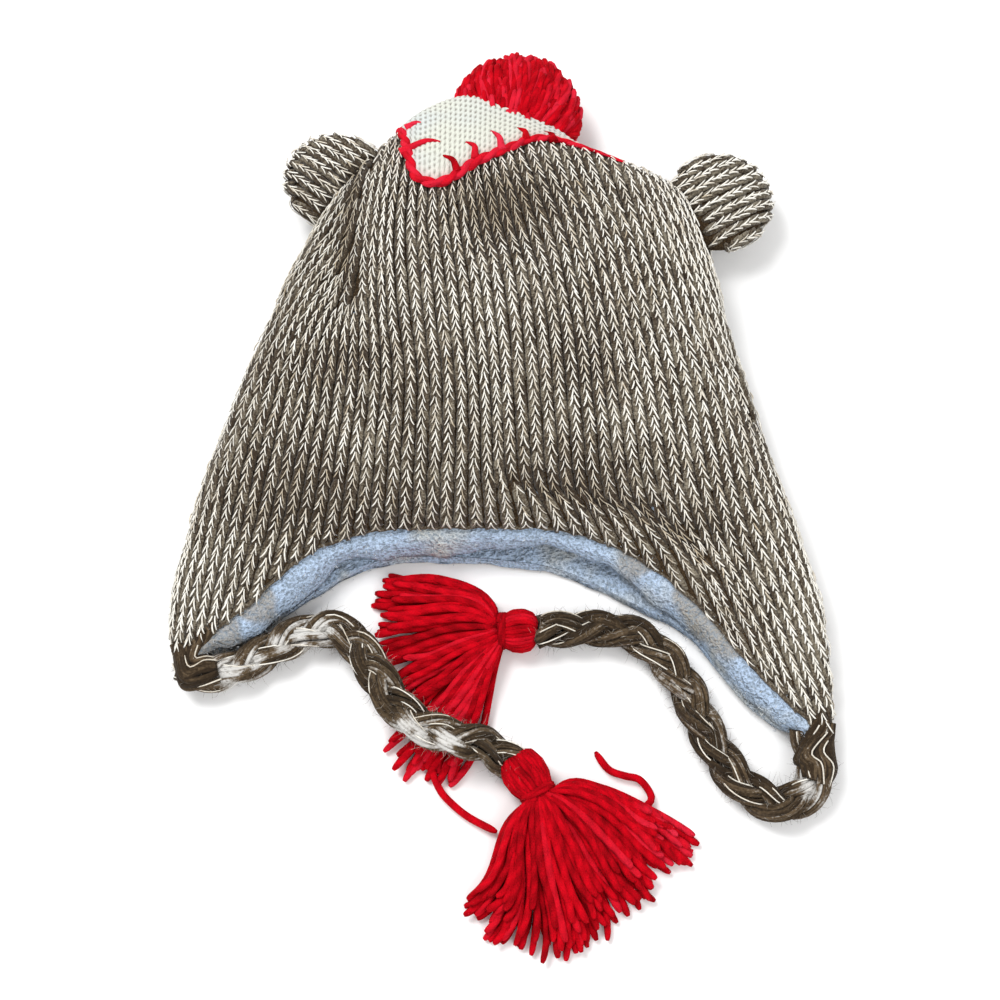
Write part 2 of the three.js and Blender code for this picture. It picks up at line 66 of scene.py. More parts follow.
# Driving sizes of the hat, in metres
BRIM_WIDTH = 0.292
HAT_LENGTH = 0.3075
HAT_DEPTH = 0.054
HEM_ARCH = 0.076
KNIT_WALL = 0.003
LINING_WALL = 0.0026
GAP = 0.0003

# Where the tables' origin lies in the frame
TABLE_ORIGIN = np.array((0.000334, -0.165289, 0.0))

# Outline and height of the hat from the flap tips to the crown's top. Columns: left x, left y,
# right x, right y, top, side, under. X is a share of BRIM_WIDTH, Y of HAT_LENGTH, the rest of
# HAT_DEPTH.
SECTIONS = np.array((
    (-0.495, 0.120, 0.498, 0.000, 0.50, 0.20, 0.00),
    (-0.502, 0.166, 0.500, 0.055, 0.61, 0.22, 0.00),
    (-0.500, 0.221, 0.496, 0.124, 0.72, 0.24, 0.00),
    (-0.486, 0.280, 0.486, 0.205, 0.81, 0.27, 0.00),
    (-0.469, 0.338, 0.461, 0.289, 0.89, 0.30, 0.00),
    (-0.445, 0.416, 0.428, 0.384, 0.94, 0.31, 0.00),
    (-0.413, 0.507, 0.390, 0.481, 0.98, 0.33, 0.00),
    (-0.373, 0.611, 0.361, 0.592, 1.00, 0.34, 0.00),
    (-0.332, 0.715, 0.348, 0.696, 0.98, 0.35, 0.00),
    (-0.291, 0.800, 0.329, 0.790, 0.94, 0.36, 0.00),
    (-0.247, 0.859, 0.284, 0.849, 0.89, 0.37, 0.00),
    (-0.205, 0.911, 0.212, 0.885, 0.81, 0.38, 0.00),
    (-0.144, 0.963, 0.137, 0.912, 0.70, 0.39, 0.00),
    (-0.082, 0.992, 0.048, 0.976, 0.55, 0.39, 0.09),
    (-0.027, 1.000, -0.027, 1.000, 0.39, 0.39, 0.39),
))
LEFT_X, LEFT_Y, RIGHT_X, RIGHT_Y, TOP, SIDE, UNDER = range(7)

# Rise of the hems above the line between the flap tips, as shares of HEM_ARCH. Columns: the
# upper wall's hem, the lower wall's.
HEM = np.array((
    (0.000, 0.000),
    (0.286, 0.170),
    (0.670, 0.490),
    (0.864, 0.735),
    (0.918, 0.813),
    (0.967, 0.843),
    (1.000, 0.825),
    (0.907, 0.695),
    (0.659, 0.530),
    (0.267, 0.120),
    (0.000, 0.000),
))
UPPER_HEM, LOWER_HEM = range(2)
HEM_FADE_END = 0.65
HEM_FADE_POWER = 1.6
UPPER_POWER = 2.3
LOWER_POWER = 3.4
LOWER_FLATTENING = 1.05

# How many halvings find the place of a point of the shell, and how far off it may lie in plan
SEARCH_HALVINGS = 22
PLAN_SLACK = 0.0006

# Folds of the upper wall. Columns: from x, from y, to x, to y, radius, rise. X and radius are
# shares of BRIM_WIDTH, Y of HAT_LENGTH, rise of HAT_DEPTH.
FOLDS = (
    (-0.200, 0.860, -0.200, 0.640, 0.030, 0.08),
    (-0.262, 0.790, -0.255, 0.620, 0.034, -0.13),
    (-0.035, 0.740, 0.030, 0.735, 0.050, -0.10),
    (-0.270, 0.500, -0.170, 0.488, 0.032, 0.06),
    (-0.270, 0.452, -0.150, 0.448, 0.034, -0.07),
    (0.030, 0.345, 0.350, 0.255, 0.026, -0.09),
    (-0.340, 0.300, -0.150, 0.285, 0.034, -0.06),
    (0.150, 0.840, 0.280, 0.610, 0.040, -0.07),
    (0.200, 0.420, 0.240, 0.405, 0.045, 0.05),
)

# How far the upper wall's wales drift to the right for each step down, measured on the photo.
# Rows by y as a share of HAT_LENGTH, columns by x as a share of BRIM_WIDTH.
LEAN_X = np.array((-0.46, -0.36, -0.27, -0.215, -0.16, -0.06, 0.04, 0.14, 0.24, 0.34, 0.44))
LEAN_Y = np.array((0.05, 0.15, 0.24, 0.31, 0.38, 0.46, 0.54, 0.62, 0.70, 0.78, 0.86, 0.95))
LEAN = np.array((
    (-0.10, -0.15, -0.15, -0.10, -0.05, 0.00, 0.05, 0.25, 0.38, 0.44, 0.36),
    (-0.12, -0.24, -0.25, -0.17, -0.10, 0.00, 0.10, 0.32, 0.44, 0.46, 0.38),
    (-0.25, -0.32, -0.30, -0.20, -0.12, 0.00, 0.16, 0.36, 0.48, 0.40, 0.30),
    (-0.16, -0.22, -0.27, -0.20, -0.12, -0.02, 0.22, 0.38, 0.42, 0.25, 0.25),
    (-0.20, -0.23, -0.15, -0.09, -0.03, -0.04, 0.07, 0.06, 0.13, 0.14, 0.28),
    (-0.26, -0.23, -0.17, -0.12, -0.08, 0.03, 0.05, 0.09, 0.12, 0.12, 0.25),
    (-0.36, -0.32, -0.10, 0.04, 0.14, 0.11, 0.06, 0.08, 0.20, 0.32, 0.36),
    (-0.45, -0.48, -0.42, 0.00, 0.10, 0.09, 0.13, 0.17, 0.17, 0.22, 0.32),
    (-0.50, -0.54, -0.56, -0.04, 0.05, 0.18, 0.22, 0.20, 0.17, 0.33, 0.40),
    (-0.50, -0.52, -0.56, -0.08, -0.06, 0.08, 0.33, 0.30, 0.28, 0.34, 0.40),
    (-0.45, -0.46, -0.48, -0.14, -0.12, 0.10, 0.28, 0.30, 0.30, 0.32, 0.34),
    (-0.40, -0.40, -0.40, -0.20, -0.12, 0.05, 0.24, 0.28, 0.30, 0.32, 0.34),
))

# Patches where the yarns are painted darker (tone under 0) or paler. Tone under 0 is partly
# painted shade in dents, along creases and below the patch, and partly darker yarn; tone over
# 0 paints the yarns paler where the knit looks brighter. Columns: x, y, half width, half
# height, tone. X and half width are shares of BRIM_WIDTH, the rest of HAT_LENGTH.
ZONES = (
    (-0.005, 0.760, 0.042, 0.050, -0.95),
    (-0.235, 0.525, 0.070, 0.025, -0.40),
    (-0.280, 0.335, 0.120, 0.055, -0.50),
    (0.130, 0.375, 0.100, 0.045, -0.40),
    (0.145, 0.500, 0.030, 0.050, -0.35),
    (0.260, 0.280, 0.060, 0.030, -0.30),
    (-0.110, 0.300, 0.050, 0.030, -0.20),
    (0.170, 0.430, 0.100, 0.040, 0.45),
    (-0.010, 0.600, 0.060, 0.110, 0.30),
    (-0.215, 0.400, 0.030, 0.040, 0.40),
    (-0.130, 0.620, 0.050, 0.060, 0.20),
    (0.300, 0.600, 0.070, 0.180, 0.22),
    (-0.460, 0.200, 0.050, 0.090, 0.62),
    (0.445, 0.140, 0.060, 0.130, 0.45),
    (0.030, 0.800, 0.090, 0.050, -0.60),
    (0.395, 0.845, 0.070, 0.080, 0.55),
    (-0.300, 0.190, 0.120, 0.080, 0.20),
    (0.050, 0.270, 0.180, 0.050, 0.25),
)

# Creases of the upper wall. Columns: from x, from y, to x, to y, half width, tone, and how much
# more the wales lean below it. Half width is a share of BRIM_WIDTH. The tone is painted shade
# along the crease; it also sets how high the lip below the crease swells.
HALF_WIDTH, PAINTED_SHADE, LEAN_MORE = 4, 5, 6
CREASES = (
    (-0.010, 0.368, 0.021, 0.355, 0.008, -0.5, 0.1),
    (0.021, 0.355, 0.074, 0.341, 0.011, -0.8, 0.3),
    (0.074, 0.341, 0.143, 0.331, 0.012, -0.9, 0.5),
    (0.143, 0.331, 0.212, 0.314, 0.012, -0.9, 0.5),
    (0.212, 0.314, 0.279, 0.275, 0.011, -0.9, 0.4),
    (0.279, 0.275, 0.310, 0.235, 0.009, -0.6, 0.2),
)

# The swollen lip below a crease: its height, how far below the line its top lies and its half
# width. Nearer to the line than LIP_START it is no higher than LIP_LOW.
LIP_RISE = 0.0034
LIP_TOP = 0.0052
LIP_HALF_WIDTH = 0.0042
LIP_START = 0.0022
LIP_LOW = 0.0004

# How far the fleece rolls out from the upper hem towards the lower one, by x as a share of
# BRIM_WIDTH: 0 not at all, 1 all the way, and more past it
COVER_X = np.array((-0.50, -0.44, -0.36, -0.30, -0.27, -0.25, -0.225, -0.20, -0.17, -0.08,
                    -0.02, 0.05, 0.16, 0.20, 0.24, 0.30, 0.50))
COVER = np.array((1.20, 1.25, 1.20, 1.06, 0.84, 0.62, 0.62, 0.84, 1.00, 0.95,
                  0.70, 0.42, 0.44, 0.55, 0.84, 1.00, 1.00))

# Routes of the ties from the tables' origin, within 3.5 mm of the CAD model's
TIE_LEFT_ROUTE_MM = (
    (-141.0, 34.0, 8.6),
    (-135.6, 30.4, 8.6),
    (-127.2, 28.8, 8.6),
    (-117.4, 31.6, 8.6),
    (-107.4, 36.8, 8.6),
    (-97.6, 42.6, 8.6),
    (-87.0, 47.8, 8.6),
    (-76.2, 49.6, 8.8),
    (-66.9, 45.2, 10.5),
    (-59.9, 36.2, 14.5),
    (-54.1, 25.8, 18.5),
    (-47.7, 15.3, 19.5),
    (-40.1, 6.9, 19.5),
    (-29.9, 1.0, 19.5),
    (-18.5, -2.6, 18.8),
    (-8.2, -4.4, 15.0),
    (-1.2, -7.0, 10.8),
    (4.3, -10.8, 8.8),
    (8.6, -14.4, 8.6),
)
TIE_RIGHT_ROUTE_MM = (
    (136.6, -3.0, 8.6),
    (137.9, -12.3, 8.6),
    (135.6, -21.4, 8.6),
    (129.2, -28.0, 8.6),
    (119.8, -29.3, 8.6),
    (109.5, -24.4, 8.6),
    (100.8, -15.6, 8.6),
    (94.4, -4.6, 8.6),
    (88.3, 7.8, 8.6),
    (83.3, 19.8, 8.6),
    (76.5, 31.6, 8.6),
    (68.2, 41.3, 8.6),
    (58.5, 47.2, 8.6),
    (46.9, 49.6, 8.6),
    (33.5, 49.6, 8.6),
    (21.4, 48.8, 8.6),
)
ROUTE_STEP = 0.0018

# Shaded sides of folds, with the first six columns of CREASES
SEAMS = (
    (-0.226, 0.880, -0.238, 0.780, 0.012, -0.9),
    (-0.238, 0.780, -0.240, 0.690, 0.014, -1.0),
    (-0.240, 0.690, -0.226, 0.630, 0.010, -0.7),
    (-0.420, 0.560, -0.200, 0.535, 0.010, -0.35),
)


def unit(vectors: np.ndarray) -> np.ndarray:
    """Vectors along the last axis, scaled to length 1."""
    return vectors / np.maximum(np.linalg.norm(vectors, axis=-1, keepdims=True), 1e-12)


def run_length(path: np.ndarray) -> np.ndarray:
    """The length along a path from its start to each of its points."""
    return np.concatenate(((0,), np.cumsum(np.linalg.norm(np.diff(path, axis=0), axis=-1))))


def at_places(places: np.ndarray, length: np.ndarray, values: np.ndarray) -> np.ndarray:
    """Reads rows of three values at places along a path.

    Args:
        places: Lengths from the path's start.
        length: The length at each of its points.
        values: A row of three values for each of its points.

    Returns:
        A row for each place.
    """
    return np.stack([np.interp(places, length, values[:, k]) for k in range(3)], -1)


def off_line(row: tuple, points: np.ndarray) -> np.ndarray:
    """The way to each point from the nearest one of a fold's or crease's line.

    Args:
        row: Starts with the line's from x, from y, to x and to y, as shares.
        points: The points' x and y from the tables' origin.

    Returns:
        The x and y of each way.
    """
    start = np.array((row[0] * BRIM_WIDTH, row[1] * HAT_LENGTH))
    line = np.array((row[2] * BRIM_WIDTH, row[3] * HAT_LENGTH)) - start
    offset = points - start
    share = np.clip(offset @ line / (line @ line), 0, 1)
    return offset - share[..., None] * line


def column(table: np.ndarray, name: int, t: np.ndarray) -> np.ndarray:
    """Reads one column of a table smoothly between its rows.

    Args:
        table: Rows at even steps.
        name: Index of the column.
        t: Places from 0 at the first row to 1 at the last.

    Returns:
        The column's value at each place.
    """
    last = len(table) - 1
    place = np.clip(t, 0, 1) * last
    row = np.minimum(place.astype(int), last - 1)
    u = place - row
    a, b, c, d = (table[np.clip(row + k, 0, last), name] for k in (-1, 0, 1, 2))
    cubic = (3 * b - a - 3 * c + d) * u**3
    return 0.5 * (2 * b + (c - a) * u + (2 * a - 5 * b + 4 * c - d) * u**2 + cubic)


def painted_shade_and_tone(points: np.ndarray) -> np.ndarray:
    """How much the yarns are painted paler or darker at points of the frame, painted shade included."""
    x = (points[..., 0] - TABLE_ORIGIN[0]) / BRIM_WIDTH
    y = (points[..., 1] - TABLE_ORIGIN[1]) / HAT_LENGTH
    tone = np.zeros_like(x)
    for middle_x, middle_y, wide, high, amount in ZONES:
        tone += amount * np.exp(-(((x - middle_x) / wide) ** 2) - ((y - middle_y) / high) ** 2)
    # Painted shade along creases and on the shaded sides of folds
    dark = np.zeros_like(x)
    for crease in (*CREASES, *SEAMS):
        distance, _ = crease_distance(crease, x, y)
        half_width = crease[HALF_WIDTH] * BRIM_WIDTH
        dark = np.minimum(dark, crease[PAINTED_SHADE] * np.exp(-((distance / half_width) ** 2)))
    return tone + dark


def crease_distance(crease: tuple, x: np.ndarray, y: np.ndarray) -> tuple[np.ndarray, np.ndarray]:
    """How far points lie from a crease.

    Args:
        crease: A row of CREASES or SEAMS.
        x: The points' x as shares of BRIM_WIDTH.
        y: The points' y as shares of HAT_LENGTH.

    Returns:
        The distance in metres, and how far the point lies above the crease.
    """
    points = np.stack(np.broadcast_arrays(x * BRIM_WIDTH, y * HAT_LENGTH), -1)
    rest = off_line(crease, points)
    return np.linalg.norm(rest, axis=-1), rest[..., 1]


def lean(x: np.ndarray, y: float) -> np.ndarray:
    """How far a wale drifts to the right for each step down, at shares x and y."""
    row = np.interp(y, LEAN_Y, np.arange(len(LEAN_Y)))
    low = min(int(row), len(LEAN_Y) - 2)
    part = row - low
    return np.interp(x, LEAN_X, LEAN[low] * (1 - part) + LEAN[low + 1] * part)


class Wall(Enum):
    """The two walls of the flattened hat."""

    UPPER = 1
    LOWER = -1


class HatForm:
    """The hat's shell as formulas of a place t up the hat and an angle round it."""

    def rail(self, side: int, t: np.ndarray, inset: float) -> np.ndarray:
        """A point of the outline in plan.

        Args:
            side: LEFT_X or RIGHT_X.
            t: Places from the hem (0) to the crown's top (1).
            inset: How far the point is moved in.

        Returns:
            The x and y of each point.
        """
        def at(k: np.ndarray) -> np.ndarray:
            x = column(SECTIONS, side, k) * BRIM_WIDTH
            y = column(SECTIONS, side + 1, k) * HAT_LENGTH
            return np.stack((x, y), -1)

        step = 0.01
        along = unit(at(np.minimum(t + step, 1)) - at(np.maximum(t - step, 0)))
        inward = 1 if side == LEFT_X else -1
        normal = np.stack((along[..., 1], -along[..., 0]), -1)
        return at(t) + normal * inset * inward

    def fold_rise(self, x: np.ndarray, y: np.ndarray) -> np.ndarray:
        """Height that the folds add to the upper wall at x, y."""
        rise = np.zeros_like(x)
        for fold in FOLDS:
            radius, height = fold[4:]
            distance = np.linalg.norm(off_line(fold, np.stack((x, y), -1)), axis=-1)
            rise += height * HAT_DEPTH * np.exp(-((distance / (radius * BRIM_WIDTH)) ** 2))
        step = np.zeros_like(x)
        for crease in CREASES:
            distance, above = crease_distance(crease, x / BRIM_WIDTH, y / HAT_LENGTH)
            signed = np.where(above < 0, distance, -distance)
            share = -crease[PAINTED_SHADE]
            lip = LIP_RISE * share * np.exp(-(((signed - LIP_TOP) / LIP_HALF_WIDTH) ** 2))
            step = np.maximum(step, lip)
            step = np.where(distance < LIP_START, np.minimum(step, LIP_LOW), step)
        return rise + step

    def shell(self, t: np.ndarray, angle: np.ndarray, inset: float,
              reach: float = 0.0) -> np.ndarray:
        """Points of the shell, in the frame.

        Args:
            t: Places from the hem (0) to the crown's top (1).
            angle: 0 at the left side, over the upper wall to pi at the right, and back below.
            inset: How far the point lies inside the hat's outside.
            reach: How far the upper hem is moved out past its line.

        Returns:
            The points, with their three coordinates last.
        """
        t, angle = np.broadcast_arrays(np.asarray(t, float), np.asarray(angle, float))
        left = self.rail(LEFT_X, t, inset)
        right = self.rail(RIGHT_X, t, inset)
        s = -np.cos(angle)
        share = (s + 1) / 2
        upper = np.sin(angle) > 0
        fade = np.maximum(0, 1 - t / HEM_FADE_END) ** HEM_FADE_POWER
        rise = np.where(upper, column(HEM, UPPER_HEM, share), column(HEM, LOWER_HEM, share))
        x = left[..., 0] + (right[..., 0] - left[..., 0]) * share
        y = left[..., 1] + (right[..., 1] - left[..., 1]) * share + HEM_ARCH * rise * fade
        side = column(SECTIONS, SIDE, t) * HAT_DEPTH
        top = column(SECTIONS, TOP, t) * HAT_DEPTH - inset
        swell = np.maximum(0, 1 - np.abs(s) ** UPPER_POWER) ** (1 / UPPER_POWER)
        high = side + (top - side) * swell + self.fold_rise(x, y) * swell**2
        under = np.maximum(0, column(SECTIONS, UNDER, t)) * HAT_DEPTH + inset
        press = np.maximum(0, 1 - np.abs(s) ** LOWER_POWER) ** (1 / LOWER_POWER)
        low = side + (under - side) * np.minimum(1, LOWER_FLATTENING * press)
        y = y - np.where(upper, reach * swell, 0.0)
        return np.stack((x, y, np.where(upper, high, low)), -1) + TABLE_ORIGIN

    def top_place(self, x: np.ndarray, y: np.ndarray,
                  wall: "Wall" = Wall.UPPER) -> tuple[np.ndarray, np.ndarray]:
        """The place t and the angle of a wall's points above x, y of the frame.

        Args:
            x: The points' x in the frame.
            y: The points' y in the frame.
            wall: The wall that they lie on.

        Returns:
            The places and the angles.
        """
        low, high = np.zeros_like(x), np.ones_like(x)
        across = x - TABLE_ORIGIN[0]
        for _ in range(SEARCH_HALVINGS):
            t = (low + high) / 2
            left, right = self.rail(LEFT_X, t, 0)[..., 0], self.rail(RIGHT_X, t, 0)[..., 0]
            s = np.clip(2 * (across - left) / np.maximum(right - left, 1e-6) - 1, -1, 1)
            angle = np.clip(np.arccos(-s), 1e-4, np.pi - 1e-4)
            angle = angle if wall is Wall.UPPER else 2 * np.pi - angle
            below = self.shell(t, angle, 0.0)[..., 1] < y
            low, high = np.where(below, t, low), np.where(below, high, t)
        return low, angle

    def above(self, x: np.ndarray, y: np.ndarray, lift: float) -> np.ndarray:
        """Points over x, y of the frame that lie lift off the upper wall's outside."""
        t, angle = self.top_place(x, y)
        return self.shell(t, angle, -lift)

    def inside(self, points: np.ndarray, margin: float) -> np.ndarray:
        """Which points lie inside the hat or nearer to it than margin.

        Args:
            points: Points in the frame.
            margin: The clearance.

        Returns:
            True for each point that does.
        """
        t, angle = self.top_place(points[..., 0], points[..., 1])
        high = self.shell(t, angle, -margin)
        low = self.shell(t, 2 * np.pi - angle, -margin)[..., 2]
        near = np.linalg.norm((high - points)[..., :2], axis=-1) < margin + PLAN_SLACK
        return near & (points[..., 2] < high[..., 2]) & (points[..., 2] > low)

    def outward(self, t: np.ndarray, angle: np.ndarray, above: np.ndarray, below: np.ndarray,
                turn: float) -> np.ndarray:
        """Directions off the outside of the shell.

        Args:
            t: Places up the hat.
            angle: Angles round it.
            above: Places a little above t.
            below: Places a little below t, or t itself.
            turn: A small step of the angle.

        Returns:
            The directions, of length 1.
        """
        rise = self.shell(above, angle, 0) - self.shell(below, angle, 0)
        run = self.shell(t, angle + turn, 0) - self.shell(t, angle - turn, 0)
        return unit(np.cross(run, rise))

    def tip(self, inset: float) -> np.ndarray:
        """The point that closes the shell at the crown's top."""
        ends = [self.rail(side, np.array(1.0), inset) for side in (LEFT_X, RIGHT_X)]
        middle = (ends[0] + ends[1]) / 2
        return np.array((*middle, SECTIONS[-1, TOP] * HAT_DEPTH)) + TABLE_ORIGIN


class Link:
    """A value in a material's node tree, used in Python expressions."""

    def __init__(self, finish: "Finish", socket: bpy.types.NodeSocket) -> None:
        """Wraps a socket of a finish's tree."""
        self.finish = finish
        self.socket = socket

    def _math(self, operation: str, *values: "Link | float") -> "Link":
        """Adds a Math node for the values."""
        return self.finish.node("ShaderNodeMath", {"operation": operation}, dict(enumerate(values)))

    def __add__(self, other: "Link | float") -> "Link":
        """Sum."""
        return self._math("ADD", self, other)

    def __radd__(self, other: float) -> "Link":
        """Sum with a number first."""
        return self._math("ADD", other, self)

    def __sub__(self, other: "Link | float") -> "Link":
        """Difference."""
        return self._math("SUBTRACT", self, other)

    def __rsub__(self, other: float) -> "Link":
        """Difference with a number first."""
        return self._math("SUBTRACT", other, self)

    def __mul__(self, other: "Link | float") -> "Link":
        """Product."""
        return self._math("MULTIPLY", self, other)

    def __rmul__(self, other: float) -> "Link":
        """Product with a number first."""
        return self._math("MULTIPLY", other, self)

    def __pow__(self, other: float) -> "Link":
        """Power."""
        return self._math("POWER", self, other)

    def sine(self) -> "Link":
        """Sine of the value."""
        return self._math("SINE", self)

    def clamped(self) -> "Link":
        """The value held between 0 and 1."""
        return self.finish.node("ShaderNodeClamp", {}, {"Value": self})

    def ramp(self, low: float, high: float) -> "Link":
        """A smooth step of the value from 0 at low to 1 at high."""
        settings = {"interpolation_type": "SMOOTHSTEP"}
        inputs = {"Value": self, "From Min": low, "From Max": high}
        return self.finish.node("ShaderNodeMapRange", settings, inputs)


Colour = tuple[float, float, float]


def linear(red: int, green: int, blue: int) -> Colour:
    """A colour as seen on a screen, from 0 to 255, in the renderer's linear values."""
    def one(value: float) -> float:
        share = value / 255
        return share / 12.92 if share <= 0.04045 else ((share + 0.055) / 1.055) ** 2.4

    return one(red), one(green), one(blue)


class Finish:
    """A material whose nodes are added by expressions."""

    def __init__(self, name: str, roughness: float = 0.9, sheen: float = 0.0) -> None:
        """Starts a material.

        Args:
            name: The material's name.
            roughness: Its roughness all over.
            sheen: How strongly its fibres catch light at grazing angles.
        """
        self.material = bpy.data.materials.new(name)
        self.material.use_nodes = True
        self.tree = self.material.node_tree
        self.shader = self.tree.nodes["Principled BSDF"]
        self.shader.inputs["Roughness"].default_value = roughness
        self.shader.inputs["Specular IOR Level"].default_value = 0.2
        self.shader.inputs["Sheen Weight"].default_value = sheen
        self.shader.inputs["Sheen Roughness"].default_value = 0.6

    def node(self, kind: str, settings: dict | None = None, inputs: dict | None = None,
             output: int | str = 0) -> Link:
        """Adds any node.

        Args:
            kind: Its type.
            settings: Its properties, set first. stops are a colour ramp's places and colours.
            inputs: Values or links of its sockets, by name or index.
            output: Which of its outputs to return.

        Returns:
            The chosen output.
        """
        made = self.tree.nodes.new(kind)
        for key, value in (settings or {}).items():
            if key == "stops":
                self._stops(made.color_ramp, value)
            else:
                setattr(made, key, value)
        for key, value in (inputs or {}).items():
            if isinstance(value, Link):
                self.tree.links.new(value.socket, made.inputs[key])
            else:
                made.inputs[key].default_value = value
        return Link(self, made.outputs[output])

    def _stops(self, ramp: bpy.types.ColorRamp, stops: list[tuple[float, Colour]]) -> None:
        """Sets a ramp's places and colours."""
        while len(ramp.elements) < len(stops):
            ramp.elements.new(1.0)
        for element, (place, colour) in zip(ramp.elements, stops):
            element.position = place
            element.color = (*colour, 1.0)

    def place(self) -> Link:
        """The point on the object, in metres."""
        return self.node("ShaderNodeTexCoord", output="Object")

    def attribute(self, name: str) -> Link:
        """A number stored on the mesh."""
        return self.node("ShaderNodeAttribute", {"attribute_name": name}, output="Fac")

    def noise(self, size: float, detail: float = 2.0, vector: Link | None = None) -> Link:
        """Noise whose features are about size metres across."""
        where = vector or self.place()
        inputs = {"Vector": where, "Scale": 1 / size, "Detail": detail}
        return self.node("ShaderNodeTexNoise", {}, inputs, "Fac")

    def mix(self, first: "Link | Colour", second: "Link | Colour", share: "Link | float",
            blend: str = "MIX") -> Link:
        """Mixes two colours by a share, with a blend mode."""
        inputs = {0: share}
        for socket, colour in ((6, first), (7, second)):
            inputs[socket] = colour if isinstance(colour, Link) else (*colour, 1.0)
        return self.node("ShaderNodeMix", {"data_type": "RGBA", "blend_type": blend}, inputs, 2)

    def shade(self, colour: Link, factor: Link) -> Link:
        """A colour made darker or lighter by a factor."""
        grey = self.node("ShaderNodeCombineXYZ", {}, {0: factor, 1: factor, 2: factor})
        inputs = {0: colour, 1: grey}
        return self.node("ShaderNodeVectorMath", {"operation": "MULTIPLY"}, inputs)

    def colour(self, value: Link) -> None:
        """Feeds the base colour."""
        self.tree.links.new(value.socket, self.shader.inputs["Base Color"])

    def bump(self, height: Link, depth: float, strength: float = 1.0) -> None:
        """Feeds the normal from a height from 0 to 1 that stands depth metres high."""
        inputs = {"Height": height, "Distance": depth, "Strength": strength}
        normal = self.node("ShaderNodeBump", {}, inputs)
        self.tree.links.new(normal.socket, self.shader.inputs["Normal"])


@dataclass(frozen=True)
class Palette:
    """Colours of the yarns and the fleece as the photo shows them."""

    knit_dark: Colour = linear(46, 33, 18)
    knit_mid: Colour = linear(80, 69, 54)
    knit_light: Colour = linear(134, 126, 110)
    plating: Colour = linear(246, 243, 234)
    # The cream yarn in painted shade
    plating_shaded: Colour = linear(176, 158, 128)
    fleece: Colour = linear(216, 220, 218)
    fleece_blue: Colour = linear(196, 219, 248)
    # The fleece in painted shade between its fibres
    fleece_shaded: Colour = linear(136, 150, 164)
    fleece_stain: Colour = linear(166, 156, 140)
    cream: Colour = linear(214, 216, 204)
    # The crimson as lit, the same crimson in painted shade, and a pale pink for painted highlights and
    # random paleness
    red: Colour = linear(216, 4, 26)
    red_shaded: Colour = linear(112, 0, 6)
    red_pale: Colour = linear(226, 60, 88)
    wool_dark: Colour = linear(54, 42, 28)
    wool_mid: Colour = linear(96, 80, 60)


PALETTE = Palette()


def knit_finish() -> bpy.types.Material:
    """The brown marled yarn of the knit, dark in its hollows, with painted shade where its tone is low."""
    finish = Finish("knit_yarn", 0.95, 0.15)
    speck = finish.noise(0.0009, 4.0)
    zone = finish.noise(0.030, 2.0)
    # The tone attribute carries painted shade along creases, on folds and in dents, paler zones and random
    # tone
    tone = finish.attribute("tone")
    mixed = (speck * 1.5 + zone * 0.3 + tone * 0.45 - 0.65).ramp(0.1, 0.9)
    stops = [(0.0, PALETTE.knit_dark), (0.5, PALETTE.knit_mid), (1.0, PALETTE.knit_light)]
    finish.colour(finish.node("ShaderNodeValToRGB", {"stops": stops}, {"Fac": mixed}))
    finish.bump(finish.noise(0.0005, 3.0), 0.0004, 0.8)
    return finish.material


def plating_finish() -> bpy.types.Material:
    """The thin cream yarn that is plated over the knit, beige in painted shade where its tone is low."""
    finish = Finish("plating_yarn", 0.8, 0.1)
    tone = finish.attribute("tone")
    speck = finish.noise(0.0011, 3.0)
    share = (tone * 0.9 + speck * 1.1 - 0.35).clamped()
    # Beige is the cream in painted shade: where the tone is low, and at random with the speck
    finish.colour(finish.mix(PALETTE.plating_shaded, PALETTE.plating, share))
    finish.bump(finish.noise(0.0003, 2.0), 0.0002, 0.5)
    return finish.material


def under_finish() -> bpy.types.Material:
    """The back of the knit between its stitches, painted darker than the yarn as painted shade."""
    finish = Finish("knit_ground", 1.0)
    speck = finish.noise(0.0008, 3.0)
    finish.colour(finish.mix(linear(36, 25, 13), linear(82, 66, 46), speck.ramp(0.3, 0.75)))
    finish.bump(finish.noise(0.0006, 3.0), 0.0006)
    return finish.material


# Beige stains of the fleece: x, y and radius in the frame. They fade out between STAIN_START
# and STAIN_END past the radius.
STAINS = ((0.086, -0.104, 0.010), (0.094, -0.113, 0.011), (0.103, -0.123, 0.010),
          (0.062, -0.087, 0.009), (-0.124, -0.122, 0.012), (-0.108, -0.107, 0.010))
STAIN_START, STAIN_END = 0.002, 0.006


def fleece_finish() -> bpy.types.Material:
    """The pale blue-grey fleece, with painted shade in the hollows between its fibres."""
    finish = Finish("fleece", 1.0, 0.0)
    fibre = finish.noise(0.0013, 6.0)
    zone = finish.noise(0.022, 2.0)
    in_plan = {0: finish.place(), 1: (1.0, 1.0, 0.0)}
    flat = finish.node("ShaderNodeVectorMath", {"operation": "MULTIPLY"}, in_plan)
    stain = zone * 0.15
    for x, y, radius in STAINS:
        inputs = {0: flat, 1: (x, y, 0.0)}
        away = finish.node("ShaderNodeVectorMath", {"operation": "DISTANCE"}, inputs, "Value")
        faded = (away + zone * 0.010).ramp(radius + STAIN_START, radius + STAIN_END)
        stain = stain + (1 - faded)
    plain = finish.mix(PALETTE.fleece, PALETTE.fleece_blue, zone.ramp(0.30, 0.52))
    plain = finish.mix(plain, PALETTE.fleece_stain, stain.clamped() * 0.8)
    # Painted shade: darker where the fibre bump is low
    finish.colour(finish.mix(PALETTE.fleece_shaded, plain, fibre.ramp(0.24, 0.66)))
    folds = finish.noise(0.0026, 2.0) * 1.4 + finish.noise(0.0075, 2.0) * 2.0
    finish.bump(fibre + folds, 0.0018)
    return finish.material


